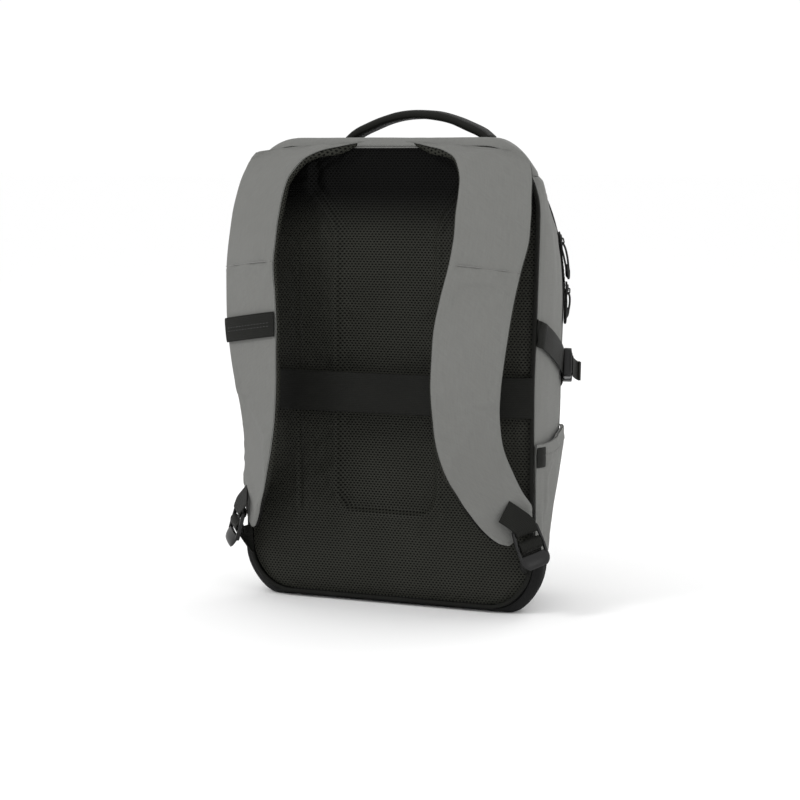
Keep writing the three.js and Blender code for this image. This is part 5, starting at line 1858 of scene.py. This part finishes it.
def slider_body():
    """A slider that narrows downwards, with a bridge for the ring of its pull."""
    half, end = SLIDER_WIDE / 2, SLIDER_LONG / 2
    right = [(half - 1.5, end), (half, end - 2), (half * 0.75, -1), (half * 0.6, -end)]
    outline = [(-x, y) for x, y in right[1::-1]] + right + [(-x, y) for x, y in right[:1:-1]]
    bridge = rounded_bar(((0, -3.5, 2.1), (0, 3.5, 2.1)), 2.2, 1.8)
    return join_bodies([plate_body(outline, 0, 1.6, 0.5), bridge])


def zip_sliders():
    for level, up, long, hang in zip(("upper", "lower"), SLIDER_UPS, PULL_LONGS, PULL_HANGS):
        place, normal, down, across = slider_frame(up)
        body = placed_in(slider_body(), place, across, -down, normal)
        add_piece(f"slider_{level}", body, BLACK_PLASTIC, [f"zip_slider_{level}"],
                  SLIDER_CREASE)
        bodies = pull_bodies(place, normal, down, across, long, unit(np.array(hang)))
        add_piece(f"pull_{level}", join_bodies(bodies), BLACK_PLASTIC,
                  [f"zip_pull_{level}"])


# Grab handle

HANDLE_HALF_SPAN = 77
HANDLE_PLACE = 88
HANDLE_RISE = 25.5
HANDLE_WIDE = 25
HANDLE_THICK = 9.5

# Half of the handle's arch: shares of its half span and of its rise
HANDLE_ARCH = np.array([(-1, 0), (-0.9, 0.24), (-0.7, 0.52), (-0.48, 0.78), (-0.24, 0.95), (0, 1)])


def top_height(x, depth):
    s = section(depth)
    beyond = np.maximum(0, np.abs(x) / waist(s["top"]) - s["half"] + s["crown_wide"])
    part = np.minimum(beyond / s["crown_wide"], 1)
    return s["top"] - s["crown_tall"] * (1 - np.sqrt(1 - part * part))


def handle_path(foot):
    """The arch of the handle from its right foot to its left one."""
    rises = np.concatenate([HANDLE_ARCH[:, 1], HANDLE_ARCH[-2::-1, 1]])
    shares = np.concatenate([HANDLE_ARCH[:, 0], -HANDLE_ARCH[-2::-1, 0]])
    points = np.stack([
        shares * HANDLE_HALF_SPAN, np.full(len(shares), float(HANDLE_PLACE)), foot + HANDLE_RISE * rises
    ], axis=1)
    return smooth_path(points, 90)


def top_handle():
    inner = HANDLE_HALF_SPAN - HANDLE_THICK / 2
    foot_back = float(top_height(inner, HANDLE_PLACE - HANDLE_WIDE / 2))
    foot_front = float(top_height(inner, HANDLE_PLACE + HANDLE_WIDE / 2))
    path = handle_path(foot_back + GAP)
    depthwise = np.array([0, 1.0, 0])
    out = np.cross(depthwise, unit(np.gradient(path, axis=0)))
    out = out * np.where(out[:, 2:3] < 0, -1, 1)
    turn = turns(28)
    wide = squared(np.cos(turn), 0.55) * HANDLE_WIDE / 2
    deep = squared(np.sin(turn), 0.7) * HANDLE_THICK / 2
    rings = path[:, None, :] + out[:, None, :] * deep[None, :, None] + depthwise * wide[None, :, None]
    floor = foot_back + (foot_front - foot_back) * (wide / HANDLE_WIDE + 0.5)
    rings[..., 2] = np.maximum(rings[..., 2], floor[None, :] + LAID_GAP)
    soft = crumple(rings, 18, 81) * 0.35
    rings = rings + out[:, None, :] * (soft * np.sign(np.sin(turn))[None, :])[..., None]
    lay = np.zeros_like(rings)
    lay[..., 0] = wide[None, :]
    lay[..., 1] = lengths_along(path)[:, None]
    body = ring_body(rings, lay=lay)
    piece = add_piece("grab_handle", body, BLACK_WEBBING, ["top_handle"])


def cloth_panels():
    """The panels whose cloth is let fill out, before their detail is added."""
    panels = {"pad": pad_panel(), "lining": lining_panel()}
    for side, word in SIDES:
        outward = np.array([side, 0, 0])
        grid = side_grid(side, 56, 20)
        panels[f"side_{word}"] = Panel(grid, outward, pressure=1.5, grow=0.01, cap=1.6)
        grid, pins = strap_grid(side, 90, 11)
        away = np.array([0, -1, 0.4])
        panels[f"strap_{word}"] = Panel(grid, away, pressure=5, grow=0.01, cap=1.3, pins=pins)
        depths = pocket_depths(26)
        grid = pocket_wall(side, depths, np.linspace(0, 1, 22), POCKET_CLOTH)
        pins = (edge_share(22, 26) == 0) | (depths < POCKET_BACK)[None, :]
        pins[-1, 10:-6] = False
        panels[f"pocket_{word}"] = Panel(grid, outward, pressure=1.5, grow=0.01, cap=1.2, pins=pins)
    return panels


moved = relax(cloth_panels())
side_panels(moved)
top_wall()
base_wall()
front_wall()
back_pad(moved)
back_binding()
back_band()
strap_faces(moved)
strap_linings(moved)
strap_seams()
strap_sleeve()
ladder_locks()
end_tabs()
lower_webbings()
webbing_anchors()
bottle_pockets(moved)
side_straps()
side_buckles()
side_label()
zip_tape()
zip_teeth()
zip_sliders()
zip_end_tabs()
top_handle()


# Plain pale floor and soft studio light

WORLD_LIGHT = 1.02
FLOOR_HALF = 60.0
FLOOR_WHITE = 0.98
LIT_PLACE = Vector((0, 0, 0.25))

# Each lamp's name, place and size in metres, and power in watts
LAMPS = (
    ("key", (-0.9, -1.7, 1.9), 0.5, 14),
    ("fill", (2.2, -1.2, 0.9), 1.2, 5),
    ("rim", (0.6, 2.0, 1.8), 1.2, 8),
)


def pale_floor():
    mesh = bpy.data.meshes.new("floor")
    corners = [(-1, -1), (1, -1), (1, 1), (-1, 1)]
    mesh.from_pydata([(x * FLOOR_HALF, y * FLOOR_HALF, 0) for x, y in corners], [], [(0, 1, 2, 3)])
    material, _, shader = new_material("pale_floor", 0.9, Specular_IOR_Level=0.1)
    shader.inputs["Base Color"].default_value = (FLOOR_WHITE, FLOOR_WHITE, FLOOR_WHITE, 1)
    mesh.materials.append(material)
    floor = bpy.data.objects.new("floor", mesh)
    bpy.context.scene.collection.objects.link(floor)


def white_world():
    world = bpy.data.worlds.new("studio")
    world.use_nodes = True
    background = world.node_tree.nodes["Background"]
    background.inputs["Color"].default_value = (1, 1, 1, 1)
    background.inputs["Strength"].default_value = WORLD_LIGHT
    bpy.context.scene.world = world
    bpy.context.scene.view_settings.view_transform = "Standard"


def soft_lamps():
    for name, place, size, power in LAMPS:
        data = bpy.data.lights.new(name, "AREA")
        data.size = size
        data.energy = power
        lamp = bpy.data.objects.new(name, data)
        lamp.location = place
        lamp.rotation_euler = (LIT_PLACE - Vector(place)).to_track_quat("-Z", "Y").to_euler()
        bpy.context.scene.collection.objects.link(lamp)


pale_floor()
white_world()
soft_lamps()
